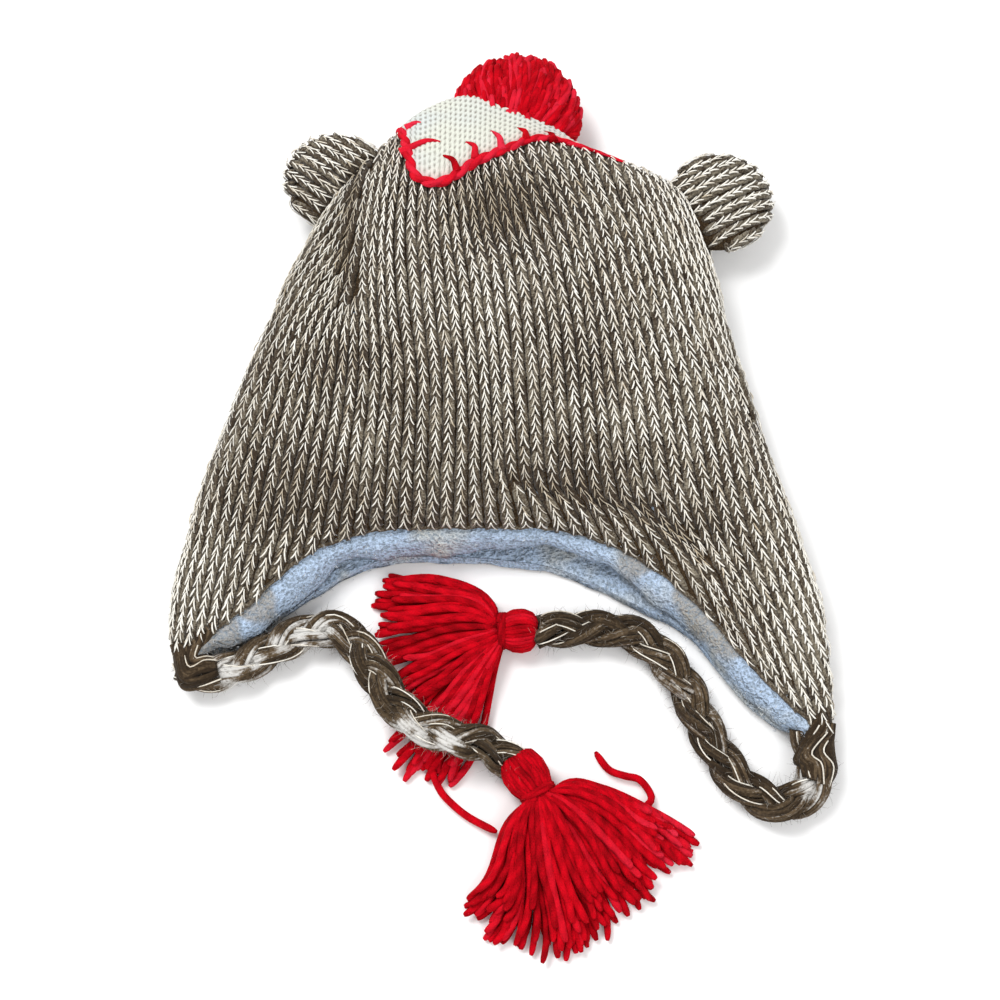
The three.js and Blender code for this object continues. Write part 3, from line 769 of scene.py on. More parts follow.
def yarn_finish(name: str, deep: Colour, bright: Colour, twist: float,
                sheen: float) -> bpy.types.Material:
    """A plied yarn whose plies turn round it, with painted shade between the plies and on darker strands.

    Args:
        name: The material's name.
        deep: Its colour between the plies and on darker strands, a painted shade.
        bright: Its colour on them, as lit.
        twist: Length of one turn of the plies.
        sheen: How fuzzy it looks at grazing angles.

    Returns:
        The material.
    """
    finish = Finish(name, 1.0, sheen)
    finish.shader.inputs["Specular IOR Level"].default_value = 0.08
    ways = finish.node("ShaderNodeUVMap", {"uv_map": "yarn"})
    turn = finish.node("ShaderNodeSeparateXYZ", {}, {0: ways})
    along = Link(finish, turn.socket.node.outputs[1])
    tone = finish.attribute("tone")
    ply = ((turn * (2 * math.pi * 2) + along * (2 * math.pi / twist) + tone * 31.0).sine() + 1) * 0.5
    fibre = finish.noise(0.0007, 3.0)
    share = (ply * 0.28 + tone * 0.85 + fibre * 0.7 - 0.18).clamped()
    # Painted shade between the plies and on strands whose tone is low
    plain = finish.mix(deep, bright, share)
    # Pale pink where the tone is high: a painted highlight toward the tassels' outer ends, random paleness
    # elsewhere
    finish.colour(finish.mix(plain, PALETTE.red_pale, (tone - 0.5).clamped() * 1.1))
    finish.bump(ply * 0.6 + fibre * 0.9, 0.0011)
    return finish.material


@dataclass
class Strands:
    """Many round strands gathered into one mesh.

    Each batch is an array of paths with as many points each.
    """

    sides: int = 5
    points: list[np.ndarray] = field(default_factory=list)
    quads: list[np.ndarray] = field(default_factory=list)
    ends: list[np.ndarray] = field(default_factory=list)
    turns: list[np.ndarray] = field(default_factory=list)
    tones: list[np.ndarray] = field(default_factory=list)
    count: int = 0

    def add(self, paths: np.ndarray, radii: np.ndarray, normals: np.ndarray,
            tones: np.ndarray, flat: float = 1.0) -> None:
        """Adds strands.

        Args:
            paths: Points, as strands by steps by 3.
            radii: Radius at each point.
            normals: A direction at each point that isn't along the strand.
            tones: A number for each strand, or for each point, that its finish reads.
            flat: Height of the section as a share of its width.
        """
        strands, steps, _ = paths.shape
        tones = np.broadcast_to(tones if tones.ndim == 2 else tones[:, None], (strands, steps))
        along = unit(np.gradient(paths, axis=1))
        across = unit(np.cross(along, normals))
        up = np.cross(across, along)
        angle = 2 * np.pi * np.arange(self.sides) / self.sides
        ring = (np.cos(angle)[:, None] * across[:, :, None]
                + flat * np.sin(angle)[:, None] * up[:, :, None])
        points = paths[:, :, None] + radii[:, :, None, None] * ring
        points[..., 2] = np.maximum(points[..., 2], LOWEST)
        index = np.arange(strands * steps * self.sides).reshape(strands, steps, self.sides) + self.count
        after = np.roll(index, -1, axis=2)
        quads = np.stack((index[:, :-1], after[:, :-1], after[:, 1:], index[:, 1:]), -1)
        length = np.concatenate(
            (np.zeros((strands, 1)), np.cumsum(np.linalg.norm(np.diff(paths, axis=1), axis=-1), 1)), 1)
        turn = np.broadcast_to(np.arange(self.sides) / self.sides, quads.shape[:3])
        step = 1 / self.sides
        low = np.broadcast_to(length[:, :-1, None], turn.shape)
        high = np.broadcast_to(length[:, 1:, None], turn.shape)
        corners = ((turn, low), (turn + step, low), (turn + step, high), (turn, high))
        ways = np.stack([np.stack(corner, -1) for corner in corners], -2)
        self.points.append(points.reshape(-1, 3))
        self.quads.append(quads.reshape(-1, 4))
        self.turns.append(ways.reshape(-1, 4, 2))
        self.ends.append(index[:, 0, ::-1].reshape(-1, self.sides))
        self.ends.append(index[:, -1].reshape(-1, self.sides))
        self.tones.append(np.repeat(tones.ravel(), self.sides))
        self.count += points.size // 3

    def line(self, path: np.ndarray, radii: np.ndarray | float, tone: np.ndarray | float,
             normals: np.ndarray | tuple = (0, 0, 1.0)) -> None:
        """Adds one strand.

        Args:
            path: Its points.
            radii: Its radius, or one for each point.
            tone: Its tone, or one for each point.
            normals: A direction that isn't along it, or one for each point.
        """
        count = len(path)
        self.add(path[None], np.broadcast_to(radii, count)[None],
                 np.broadcast_to(normals, path.shape)[None], np.broadcast_to(tone, count)[None])

    def mesh(self, name: str, material: bpy.types.Material) -> bpy.types.Object:
        """Makes one object of all the strands.

        Args:
            name: The object's name.
            material: Its finish.

        Returns:
            The object.
        """
        points = np.concatenate(self.points)
        quads = np.concatenate(self.quads)
        ends = np.concatenate(self.ends)
        made = bpy.data.meshes.new(name)
        made.vertices.add(len(points))
        made.vertices.foreach_set("co", points.astype(np.float32).ravel())
        loops = np.concatenate((quads.ravel(), ends.ravel()))
        made.loops.add(len(loops))
        made.loops.foreach_set("vertex_index", loops.astype(np.int32))
        sizes = np.concatenate((np.full(len(quads), 4), np.full(len(ends), self.sides)))
        made.polygons.add(len(sizes))
        made.polygons.foreach_set("loop_start", (np.cumsum(sizes) - sizes).astype(np.int32))
        made.polygons.foreach_set("use_smooth", np.ones(len(sizes), bool))
        ways = np.zeros((len(loops), 2), np.float32)
        ways[: quads.size] = np.concatenate(self.turns).reshape(-1, 2)
        made.update(calc_edges=True)
        made.uv_layers.new(name="yarn").data.foreach_set("uv", ways.ravel())
        tone = made.attributes.new("tone", "FLOAT", "POINT")
        tone.data.foreach_set("value", np.concatenate(self.tones).astype(np.float32))
        made.materials.append(material)
        made.validate()
        return linked(name, made)


def linked(name: str, data: bpy.types.ID) -> bpy.types.Object:
    """A new object with its data, in the scene."""
    made = bpy.data.objects.new(name, data)
    bpy.context.scene.collection.objects.link(made)
    return made


def triangles(piece: bpy.types.Object) -> int:
    """How many triangles a mesh piece has."""
    return sum(len(face.vertices) - 2 for face in piece.data.polygons)


def finished(piece: bpy.types.Object, slot: str, *nodes: str) -> bpy.types.Object:
    """Puts a piece on the body and hides the CAD nodes that it stands for.

    Args:
        piece: The finished piece.
        slot: Not used.
        *nodes: CAD nodes that it replaces.

    Returns:
        The piece.
    """
    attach(piece, BODY)
    if nodes:
        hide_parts(*nodes)
    LOG.info("%s: %d triangles", piece.name, triangles(piece))
    return piece


def grid_mesh(points: np.ndarray) -> bmesh.types.BMesh:
    """A grid of faces through points given as rows by columns by 3."""
    rows, columns, _ = points.shape
    mesh = bmesh.new()
    bmesh.ops.create_grid(mesh, x_segments=columns - 1, y_segments=rows - 1, size=1.0)
    mesh.verts.ensure_lookup_table()
    for vertex, point in zip(mesh.verts, points.reshape(-1, 3)):
        vertex.co = point
    return mesh


def mesh_object(mesh: bmesh.types.BMesh, name: str, material: bpy.types.Material,
                smooth: bool = True) -> bpy.types.Object:
    """Turns a bmesh into an object of the scene, and frees it.

    Args:
        mesh: The bmesh.
        name: The object's name.
        material: Its finish.
        smooth: Whether its faces are turned outwards and shaded smooth.

    Returns:
        The object.
    """
    if smooth:
        bmesh.ops.recalc_face_normals(mesh, faces=mesh.faces)
        for face in mesh.faces:
            face.smooth = True
    made = bpy.data.meshes.new(name)
    mesh.to_mesh(made)
    mesh.free()
    made.materials.append(material)
    return linked(name, made)


def shell_piece(name: str, columns: int, place: Callable[[np.ndarray], np.ndarray],
                material: bpy.types.Material) -> bpy.types.Object:
    """A closed shell from a grid whose rows run from an outer pole to an inner one.

    Args:
        name: The object's name.
        columns: Facets round the shell.
        place: Points of the grid's rows for an array of angles.
        material: Its finish.

    Returns:
        The object.
    """
    mesh = grid_mesh(place(np.linspace(0, 2 * np.pi, columns + 1)))
    bmesh.ops.remove_doubles(mesh, verts=mesh.verts, dist=1e-6)
    return mesh_object(mesh, name, material)


# Small steps that show which way a wale runs: of its length, and of the shell's place and angle
NEARBY = (0, 0.001, -0.001)
NEAR_T = 0.004


@dataclass
class Wale:
    """The stitches of one wale: their middles, normals, ways up the wale, and spacing."""

    middles: np.ndarray
    normals: np.ndarray
    ways: np.ndarray
    spacing: np.ndarray


@dataclass
class KnitSurface:
    """A wall of the hat with its wales and courses.

    The wales follow the lean table from a seed level, up to the crown and down to the hem. They
    end where they run into a neighbour, and new ones start where a gap opens.
    """

    form: HatForm
    wall: Wall
    wale_pitch: float = 0.0060
    course_pitch: float = 0.0040
    seed_level: float = 0.36
    step: float = 0.0015
    narrowest: float = 0.50
    widest: float = 1.62
    sink: float = 0.0
    lean_below: float = 0.009
    lean_above: float = 0.003
    plan_error: float = 0.0012
    highest: float = 0.99
    shortest: int = 8

    def _lean(self, x: np.ndarray, y: float) -> np.ndarray:
        """The lean at x, y of the table, plain for the lower wall."""
        if self.wall is Wall.UPPER:
            table = lean(x / BRIM_WIDTH, y / HAT_LENGTH)
            level = np.full_like(x, y / HAT_LENGTH)
            extra = np.zeros_like(x)
            for crease in CREASES:
                distance, above = crease_distance(crease, x / BRIM_WIDTH, level)
                reach = np.where(above < 0, self.lean_below, self.lean_above)
                extra = np.maximum(extra, crease[LEAN_MORE] * np.exp(-((distance / reach) ** 2)))
            return table + extra
        return x / BRIM_WIDTH * 0.55

    def _seeds(self) -> list[float]:
        """Where the wales cross the seed level, evenly spaced over the curved wall."""
        y = self.seed_level * HAT_LENGTH
        x = np.linspace(-0.5, 0.5, 900) * BRIM_WIDTH
        points, good = self._on_wall(x, np.full_like(x, y))
        x, points = x[good], points[good]
        length = run_length(points)
        middle = np.interp(0.0, x, length)
        first = math.ceil(-middle / self.wale_pitch)
        last = math.floor((length[-1] - middle) / self.wale_pitch)
        return list(np.interp(middle + np.arange(first, last + 1) * self.wale_pitch, length, x))

    def _on_wall(self, x: np.ndarray, y: np.ndarray) -> tuple[np.ndarray, np.ndarray]:
        """Points of the wall at x, y of the table, and which of them are truly there."""
        at_x, at_y = x + TABLE_ORIGIN[0], y + TABLE_ORIGIN[1]
        t, angle = self.form.top_place(at_x, at_y, self.wall)
        points = self.form.shell(t, angle, self.sink)
        off = np.hypot(points[..., 0] - at_x, points[..., 1] - at_y)
        return points, (off < self.plan_error) & (t < self.highest)

    def _trace(self, way: int) -> list[list[tuple[float, float]]]:
        """Follows all wales from the seed level up (way 1) or down (way -1).

        Args:
            way: 1 up or -1 down.

        Returns:
            For each wale its x and y in the table, from where it starts.
        """
        y = self.seed_level * HAT_LENGTH
        xs = np.array(self._seeds())
        wide = np.gradient(xs)
        lines = [[(x, y)] for x in xs]
        alive = list(range(len(xs)))
        while 0 < y < HAT_LENGTH:
            xs = xs - way * self.step * self._lean(xs, y)
            y += way * self.step
            gaps = np.diff(xs)
            limit = (wide[:-1] + wide[1:]) / 2
            drop, add, skip = set(), [], False
            for index, (gap, normal) in enumerate(zip(gaps, limit)):
                if skip:
                    skip = False
                elif gap < self.narrowest * normal:
                    drop.add(index if xs[index] < -0.06 * BRIM_WIDTH else index + 1)
                    skip = True
                elif gap > self.widest * normal:
                    add.append(index)
            keep = [k for k in range(len(xs)) if k not in drop]
            born = [(xs[k] + xs[k + 1]) / 2 for k in add]
            widths = [(wide[k] + wide[k + 1]) / 2 for k in add]
            for x in born:
                lines.append([])
                alive.append(len(lines) - 1)
            order = [*keep, *range(len(xs), len(xs) + len(born))]
            xs = np.concatenate((xs, born))[order]
            wide = np.concatenate((wide, widths))[order]
            alive = [alive[k] for k in order]
            rank = np.argsort(xs)
            xs, wide, alive = xs[rank], wide[rank], [alive[k] for k in rank]
            for x, line in zip(xs, alive):
                lines[line].append((x, y))
        return lines

    def wales(self) -> list[Wale]:
        """Stitch places along each wale.

        Returns:
            The wales.
        """
        up, down = self._trace(1), self._trace(-1)
        count = len(self._seeds())
        lines = [down[k][:0:-1] + up[k] for k in range(count)] + up[count:] + down[count:]
        found = []
        for index, line in enumerate(lines):
            if len(line) < self.shortest:
                continue
            x, y = np.array(line).T
            order = np.argsort(y)
            points, good = self._on_wall(x[order], y[order])
            points = points[good]
            if len(points) < self.shortest:
                continue
            found.append(self._wale(points, index))
        found = [wale for wale in found if wale is not None]
        self._space(found)
        return found

    def _wale(self, path: np.ndarray, index: int) -> Wale | None:
        """Cuts a wale's path into stitches.

        Args:
            path: The wale's points, from the hem up.
            index: Its number, which shifts its stitches a little.

        Returns:
            The wale, or None if it is too short for two stitches.
        """
        length = run_length(path)
        level = TABLE_ORIGIN[1] + self.seed_level * HAT_LENGTH
        start = np.interp(level, path[:, 1], length)
        wobble = 0.25 * math.sin(index * 2.399)
        first = math.ceil(-start / self.course_pitch - wobble)
        last = math.floor((length[-1] - start) / self.course_pitch - wobble)
        places = start + (np.arange(first, last + 1) + wobble) * self.course_pitch
        hem = 0.0006 if self.wall is Wall.UPPER else 0.0040
        places = places[(places > hem) & (places < length[-1])]
        if len(places) < 2:
            return None
        if self.wall is Wall.UPPER and path[0, 1] < level and places[0] > 0.0030:
            places = np.concatenate(((0.0010,), places))
        at, ahead, behind = (at_places(places + d, length, path) for d in NEARBY)
        t, angle = self.form.top_place(at[:, 0], at[:, 1], self.wall)
        normal = self.form.outward(t, angle, t + NEAR_T, np.maximum(t - NEAR_T, 0), NEAR_T)
        return Wale(at, normal, unit(ahead - behind), np.full(len(at), self.wale_pitch))

    def _space(self, wales: list[Wale]) -> None:
        """Measures how far each stitch lies from the wales beside it."""
        middles = np.concatenate([wale.middles for wale in wales])
        owner = np.concatenate([np.full(len(wale.middles), k) for k, wale in enumerate(wales)])
        for index, wale in enumerate(wales):
            across = unit(np.cross(wale.ways, wale.normals))
            for row, point in enumerate(wale.middles):
                near = (np.abs(middles - point).max(axis=-1) < 0.011) & (owner != index)
                if not near.any():
                    continue
                offset = middles[near] - point
                beside = offset @ across[row]
                level = np.abs(offset @ wale.ways[row]) < 0.0032
                gaps = []
                for side in (-1, 1):
                    reach = beside[level & (beside * side > 0.0012)] * side
                    if len(reach):
                        gaps.append(reach.min())
                if gaps:
                    wale.spacing[row] = np.clip(np.mean(gaps), 0.0030, 0.0078)


@dataclass
class Knit:
    """The stitches of the plated knit on a surface."""

    draw: np.random.Generator
    leg_radius: float = 0.00160
    plating_radius: float = 0.00037
    course_pitch: float = 0.0040
    leg_sides: int = 5
    leg_steps: int = 4
    plating_sides: int = 3
    plating_steps: int = 5
    parts: int = 1
    leg_sink: float = 0.0014
    leg_swell: float = 0.0008
    jitter: float = 0.00022
    plating_jitter: float = 0.00016

    def dress(self, name: str, wales: list[Wale], yarn: bpy.types.Material,
              plating: bpy.types.Material) -> list[bpy.types.Object]:
        """Makes the stitches of all wales.

        Args:
            name: Start of the pieces' names.
            wales: The wales.
            yarn: Finish of the brown yarn.
            plating: Finish of the cream yarn.

        Returns:
            The pieces of brown yarn and of cream yarn.
        """
        pieces = []
        for part in range(self.parts):
            chosen = wales[part::self.parts]
            at = Wale(*(np.concatenate([getattr(wale, key) for wale in chosen])
                        for key in ("middles", "normals", "ways", "spacing")))
            across = unit(np.cross(at.ways, at.normals))
            # Each stitch's painted shade along creases and folds, and its zone's paler or darker tone
            tones = painted_shade_and_tone(at.middles)
            LOG.info("%s: %d stitches in %d wales", name, len(at.middles), len(chosen))
            legs = Strands(self.leg_sides)
            lines = Strands(self.plating_sides)
            for side in (-1, 1):
                self._legs(legs, side, at, across, tones)
                self._lines(lines, side, at, across, tones)
            end = f"_{part}" if self.parts > 1 else ""
            pieces += [legs.mesh(f"{name}_yarn{end}", yarn), lines.mesh(f"{name}_plating{end}", plating)]
        return pieces

    def _legs(self, strands: Strands, side: int, at: Wale, across: np.ndarray,
              tones: np.ndarray) -> None:
        """Adds one leg of each stitch in the brown yarn.

        Args:
            strands: Where it goes.
            side: -1 for the left leg, 1 for the right one.
            at: The stitches of all wales.
            across: Directions to their right.
            tones: How much paler or darker each is painted; below 0 this is mostly painted shade.
        """
        count = len(at.middles)
        u = np.linspace(0, 1, self.leg_steps)
        out = (0.07 + 0.26 * u) * side
        up = (0.85 - 1.70 * u) * self.course_pitch
        swell = np.sin(np.pi * np.clip(0.12 + 0.8 * u, 0, 1))
        jitter = self.draw.normal(0, self.jitter, (count, 1, 3))
        paths = (at.middles[:, None] + jitter
                 + across[:, None] * (out[:, None] * at.spacing[:, None, None])
                 + at.ways[:, None] * up[:, None]
                 + at.normals[:, None] * (-self.leg_sink + self.leg_swell * swell)[:, None])
        squeeze = np.clip(at.spacing / 0.006, 0.6, 1)
        radii = self.leg_radius * (0.60 + 0.40 * swell) * squeeze[:, None]
        tone = np.clip(0.5 + tones + self.draw.normal(0, 0.25, count), 0, 1)
        strands.add(paths, radii, np.broadcast_to(at.normals[:, None], paths.shape), tone)

    def _lines(self, strands: Strands, side: int, at: Wale, across: np.ndarray,
               tones: np.ndarray) -> None:
        """Adds one leg of each stitch in the cream yarn.

        Args:
            strands: Where it goes.
            side: -1 for the left leg, 1 for the right one.
            at: The stitches of all wales.
            across: Directions to their right.
            tones: How much paler or darker each is painted; below 0 this is mostly painted shade.
        """
        count = len(at.middles)
        u = np.linspace(0, 1, self.plating_steps)
        reach = self.draw.uniform(0.27, 0.40, (count, 1)) * (1.0 if side > 0 else 0.85)
        drop = self.draw.uniform(1.15, 1.55, (count, 1)) * (1.0 if side > 0 else 0.85)
        out = (0.01 + reach * (0.4 * u + 0.6 * u**2)) * side * at.spacing[:, None]
        out = out + self.draw.normal(0, self.jitter, (count, 1))
        up = (0.70 - drop * u**0.9) * self.course_pitch + self.draw.normal(0, 0.0004, (count, 1))
        swell = np.sin(np.pi * np.clip(0.14 + 0.70 * u, 0, 1))
        jitter = self.draw.normal(0, self.plating_jitter, (count, 1, 3))
        lift = self.draw.uniform(0.0009, 0.0017, (count, 1)) * swell**0.5 + 0.0002
        paths = (at.middles[:, None] + jitter + across[:, None] * out[..., None]
                 + at.ways[:, None] * up[..., None] + at.normals[:, None] * lift[..., None])
        taper = np.sin(np.pi * (0.16 + 0.68 * u)) ** 0.4
        weight = np.clip(1 + 0.35 * tones, 0.7, 1.3)[:, None]
        radii = self.plating_radius * taper * weight * self.draw.uniform(0.75, 1.2, (count, 1))
        tone = np.clip(0.66 + 0.8 * tones + self.draw.normal(0, 0.26, count), 0, 1)
        strands.add(paths, radii, np.broadcast_to(at.normals[:, None], paths.shape), tone)


@dataclass
class HatBody:
    """The knit and the fleece of the hat."""

    form: HatForm
    ground_inset: float = 0.0022
    columns: int = 110
    upper_sink: float = 0.0007
    lower_sink: float = 0.0010
    edge_angles: tuple = (-0.03, -0.15, np.pi + 0.03, np.pi + 0.15)
    edge_spacing: float = 0.0064
    nap_count: int = 2900
    overhang: float = 0.0014
    roll_gap: float = 0.0022

    def knit_ground(self, material: bpy.types.Material) -> bpy.types.Object:
        """The wall that the stitches lie on."""
        def rows(angles: np.ndarray) -> np.ndarray:
            steps = np.linspace(1, 0, 64)[1:]
            outer = [self.form.shell(t, angles, self.ground_inset) for t in steps]
            inner = [self.form.shell(t, angles, KNIT_WALL) for t in steps[::-1]]
            tips = [np.broadcast_to(self.form.tip(inset), (len(angles), 3))
                    for inset in (self.ground_inset, KNIT_WALL)]
            return np.array([tips[0], *outer, *inner, tips[1]])

        # Its finish is painted dark, as the shade between the stitches
        piece = shell_piece("knit_ground", self.columns, rows, material)
        return finished(piece, "knit", "crown_knit")

    def knit(self, yarn: bpy.types.Material, plating: bpy.types.Material) -> None:
        """The stitches of both walls."""
        draw = np.random.default_rng(11)
        over = KnitSurface(self.form, Wall.UPPER, sink=self.upper_sink)
        upper = Knit(draw, parts=2).dress("knit_upper", over.wales(), yarn, plating)
        plain = Knit(draw, leg_sides=3, leg_steps=3, plating_sides=3, plating_steps=3)
        under = KnitSurface(self.form, Wall.LOWER, sink=self.lower_sink)
        lower = plain.dress("knit_lower", [*under.wales(), *self._edge_wales()], yarn, plating)
        for piece in (*upper, *lower, self._hem(yarn)):
            finished(piece, "knit")

    def _edge_wales(self) -> list[Wale]:
        """Wales along the fold between the two walls, where the others run out.

        Returns:
            The wales.
        """
        found = []
        for angle in self.edge_angles:
            t = np.linspace(0.0, 0.93, 600)
            path = self.form.shell(t, angle, self.lower_sink)
            length = run_length(path)
            places = np.arange(0.002, length[-1] - 0.001, 0.0040)
            at, ahead, behind = (at_places(places + d, length, path) for d in NEARBY)
            level = np.interp(places, length, t)
            normal = self.form.outward(level, angle, level + NEAR_T, level, 0.01)
            spacing = np.full(len(at), self.edge_spacing)
            found.append(Wale(at, normal, unit(ahead - behind), spacing))
        return found

    def _hem(self, yarn: bpy.types.Material) -> bpy.types.Object:
        """The brown yarn that runs along the upper hem's edge.

        Args:
            yarn: Its finish.

        Returns:
            The object.
        """
        draw = np.random.default_rng(13)
        angles = np.linspace(0.03, np.pi - 0.03, 320)
        strands = Strands(5)
        line = self.form.shell(0.0, angles, 0.0016)
        line[:, 1] += 0.0003 * np.sin(line[:, 0] / 0.0019) + draw.normal(0, 0.0001, len(line))
        strands.line(line, 0.00110 + 0.0002 * np.sin(line[:, 0] / 0.0031), 0.55)
        return strands.mesh("knit_hem", yarn)

    def _roll(self, angles: np.ndarray, k: float, inset: float, shrink: float) -> np.ndarray:
        """A row of the fleece where it rolls out of the hem.

        Args:
            angles: Angles round the hem.
            k: How far out, from 0 at the hem to 1 at the roll's nose.
            inset: Inset of the fleece's side that the row belongs to.
            shrink: How much the row lies inside the roll's outside.

        Returns:
            The row's points.
        """
        near = self.form.shell(0.0, angles, inset)
        far = self.form.shell(0.0, 2 * np.pi - angles, KNIT_WALL + GAP + LINING_WALL)
        upper = np.sin(angles) > 1e-9
        share = np.interp((near[:, 0] - TABLE_ORIGIN[0]) / BRIM_WIDTH, COVER_X, COVER)
        flap = np.clip(np.abs(np.sin(angles)) * 4, 0, 1)
        reach = (self.overhang + share * np.maximum(near[:, 1] - far[:, 1], 0.004)) * flap - shrink
        fall = np.maximum(near[:, 2] - far[:, 2] - self.roll_gap, 0)
        drop = np.minimum(share, 1) * fall * flap - shrink * 0.4
        turn = np.pi / 2 * k
        wave = 0.0007 * np.sin(near[:, 0] * 210) * k + 0.0005 * np.sin(near[:, 0] * 470 + 1) * k
        rolled = near.copy()
        rolled[:, 1] -= np.maximum(reach, 0) * math.sin(turn) + wave
        rolled[:, 2] -= np.maximum(drop, 0) * (1 - math.cos(turn))
        rolled[:, 2] += 0.0012 * math.sin(np.pi * k) * flap
        flat = near.copy()
        flat[:, 1] -= (self.overhang - shrink * 0.5) * k + wave * 0.5
        flat[:, 2] -= 0.0018 * k * k
        return np.where(upper[:, None], rolled, flat)

    def lining(self, material: bpy.types.Material, fibre: bpy.types.Material) -> None:
        """The fleece lining, rolled out of the upper hem."""
        outer_inset = KNIT_WALL + GAP
        inner_inset = outer_inset + LINING_WALL
        levels = (0.12, 0.26, 0.42, 0.58, 0.74, 0.88, 1.0)

        def rows(angles: np.ndarray) -> np.ndarray:
            steps = np.concatenate((np.linspace(1, 0.2, 24)[1:], np.linspace(0.2, 0, 24)[1:]))
            outer = [self.form.shell(t, angles, outer_inset) for t in steps]
            inner = [self.form.shell(t, angles, inner_inset) for t in steps[::-1]]
            roll = [self._roll(angles, k, outer_inset, 0.0) for k in levels]
            back = [self._roll(angles, k, inner_inset, 0.0022) for k in levels[::-1]]
            tips = [np.broadcast_to(self.form.tip(inset), (len(angles), 3))
                    for inset in (outer_inset, inner_inset)]
            return np.array([tips[0], *outer, *roll, *back, *inner, tips[1]])

        piece = shell_piece("fleece", 220, rows, material)
        finished(piece, "fleece", "fleece_lining")
        self._nap(piece, fibre)

    def _nap(self, fleece: bpy.types.Object, material: bpy.types.Material) -> None:
        """Short loose fibres over the fleece that shows.

        Args:
            fleece: The lining.
            material: The fibres' finish.
        """
        draw = np.random.default_rng(17)

        def of_faces(key: str, size: int) -> np.ndarray:
            values = np.zeros(len(fleece.data.polygons) * size)
            fleece.data.polygons.foreach_get(key, values)
            return values.reshape(-1, size)

        middles, normals = of_faces("center", 3), of_faces("normal", 3)
        areas = of_faces("area", 1)[:, 0]
        edge = self.form.shell(0.0, np.linspace(0.001, np.pi - 0.001, 200), 0.0)
        hem = np.interp(middles[:, 0], edge[:, 0], edge[:, 1])
        shown = (middles[:, 1] < hem + 0.004) & (normals[:, 2] > -0.2)
        weight = np.where(shown, areas, 0)
        chosen = draw.choice(len(middles), self.nap_count, p=weight / weight.sum())
        spots = middles[chosen] + draw.normal(0, 0.0009, (len(chosen), 3))
        ways = unit(np.cross(normals[chosen], draw.normal(0, 1, (len(chosen), 3))))
        fuzz = Fuzz(draw, 0.0016, 0.00016)
        roots = spots - normals[chosen] * 0.0004
        finished(fuzz.mesh("fleece_nap", roots, normals[chosen], ways, material), "fleece")


def smooth_route(route: np.ndarray, step: float) -> np.ndarray:
    """A route through given points, cut into even steps of about step metres."""
    fine = np.linspace(0, 1, 40 * len(route))
    path = np.stack([column(route, k, fine) for k in range(3)], -1)
    length = run_length(path)
    places = np.linspace(0, length[-1], max(2, round(length[-1] / step)) + 1)
    return at_places(places, length, path)


def from_table(points: tuple) -> np.ndarray:
    """Points of a route in millimetres from the tables' origin, in the frame."""
    return np.array(points) * MM + TABLE_ORIGIN


def frames(path: np.ndarray) -> tuple[np.ndarray, np.ndarray, np.ndarray]:
    """Directions along a path, across it in the plane, and up from it."""
    along = unit(np.gradient(path, axis=0))
    across = unit(np.cross(along, (0.0, 0.0, 1.0)))
    return along, across, np.cross(across, along)


@dataclass
class Fuzz:
    """Loose fibres that stand off a surface."""

    draw: np.random.Generator
    length: float = 0.0032
    radius: float = 0.00011

    def mesh(self, name: str, roots: np.ndarray, normals: np.ndarray, ways: np.ndarray,
             material: bpy.types.Material) -> bpy.types.Object:
        """Makes the fibres.

        Args:
            name: The object's name.
            roots: Where they start.
            normals: Which way is off the surface.
            ways: Which way they mostly lie.
            material: Their finish.

        Returns:
            The object.
        """
        count = len(roots)
        heading = unit(normals * self.draw.uniform(0.2, 1.0, (count, 1))
                       + ways * self.draw.uniform(-0.9, 0.9, (count, 1))
                       + self.draw.normal(0, 0.45, (count, 3)))
        bend = self.draw.normal(0, 0.4, (count, 3))
        length = self.length * self.draw.uniform(0.5, 1.3, (count, 1))
        middle = roots + heading * length * 0.5
        end = middle + unit(heading + bend) * length * 0.5
        paths = np.stack((roots, middle, end), 1)
        paths[..., 2] = np.maximum(paths[..., 2], 2 * self.radius)
        radii = np.broadcast_to(self.radius * np.array((1.0, 0.8, 0.35)), (count, 3))
        strands = Strands(3)
        side = np.broadcast_to((0.31, 0.55, 0.77), paths.shape)
        strands.add(paths, radii, side, self.draw.random(count) ** 2)
        return strands.mesh(name, material)


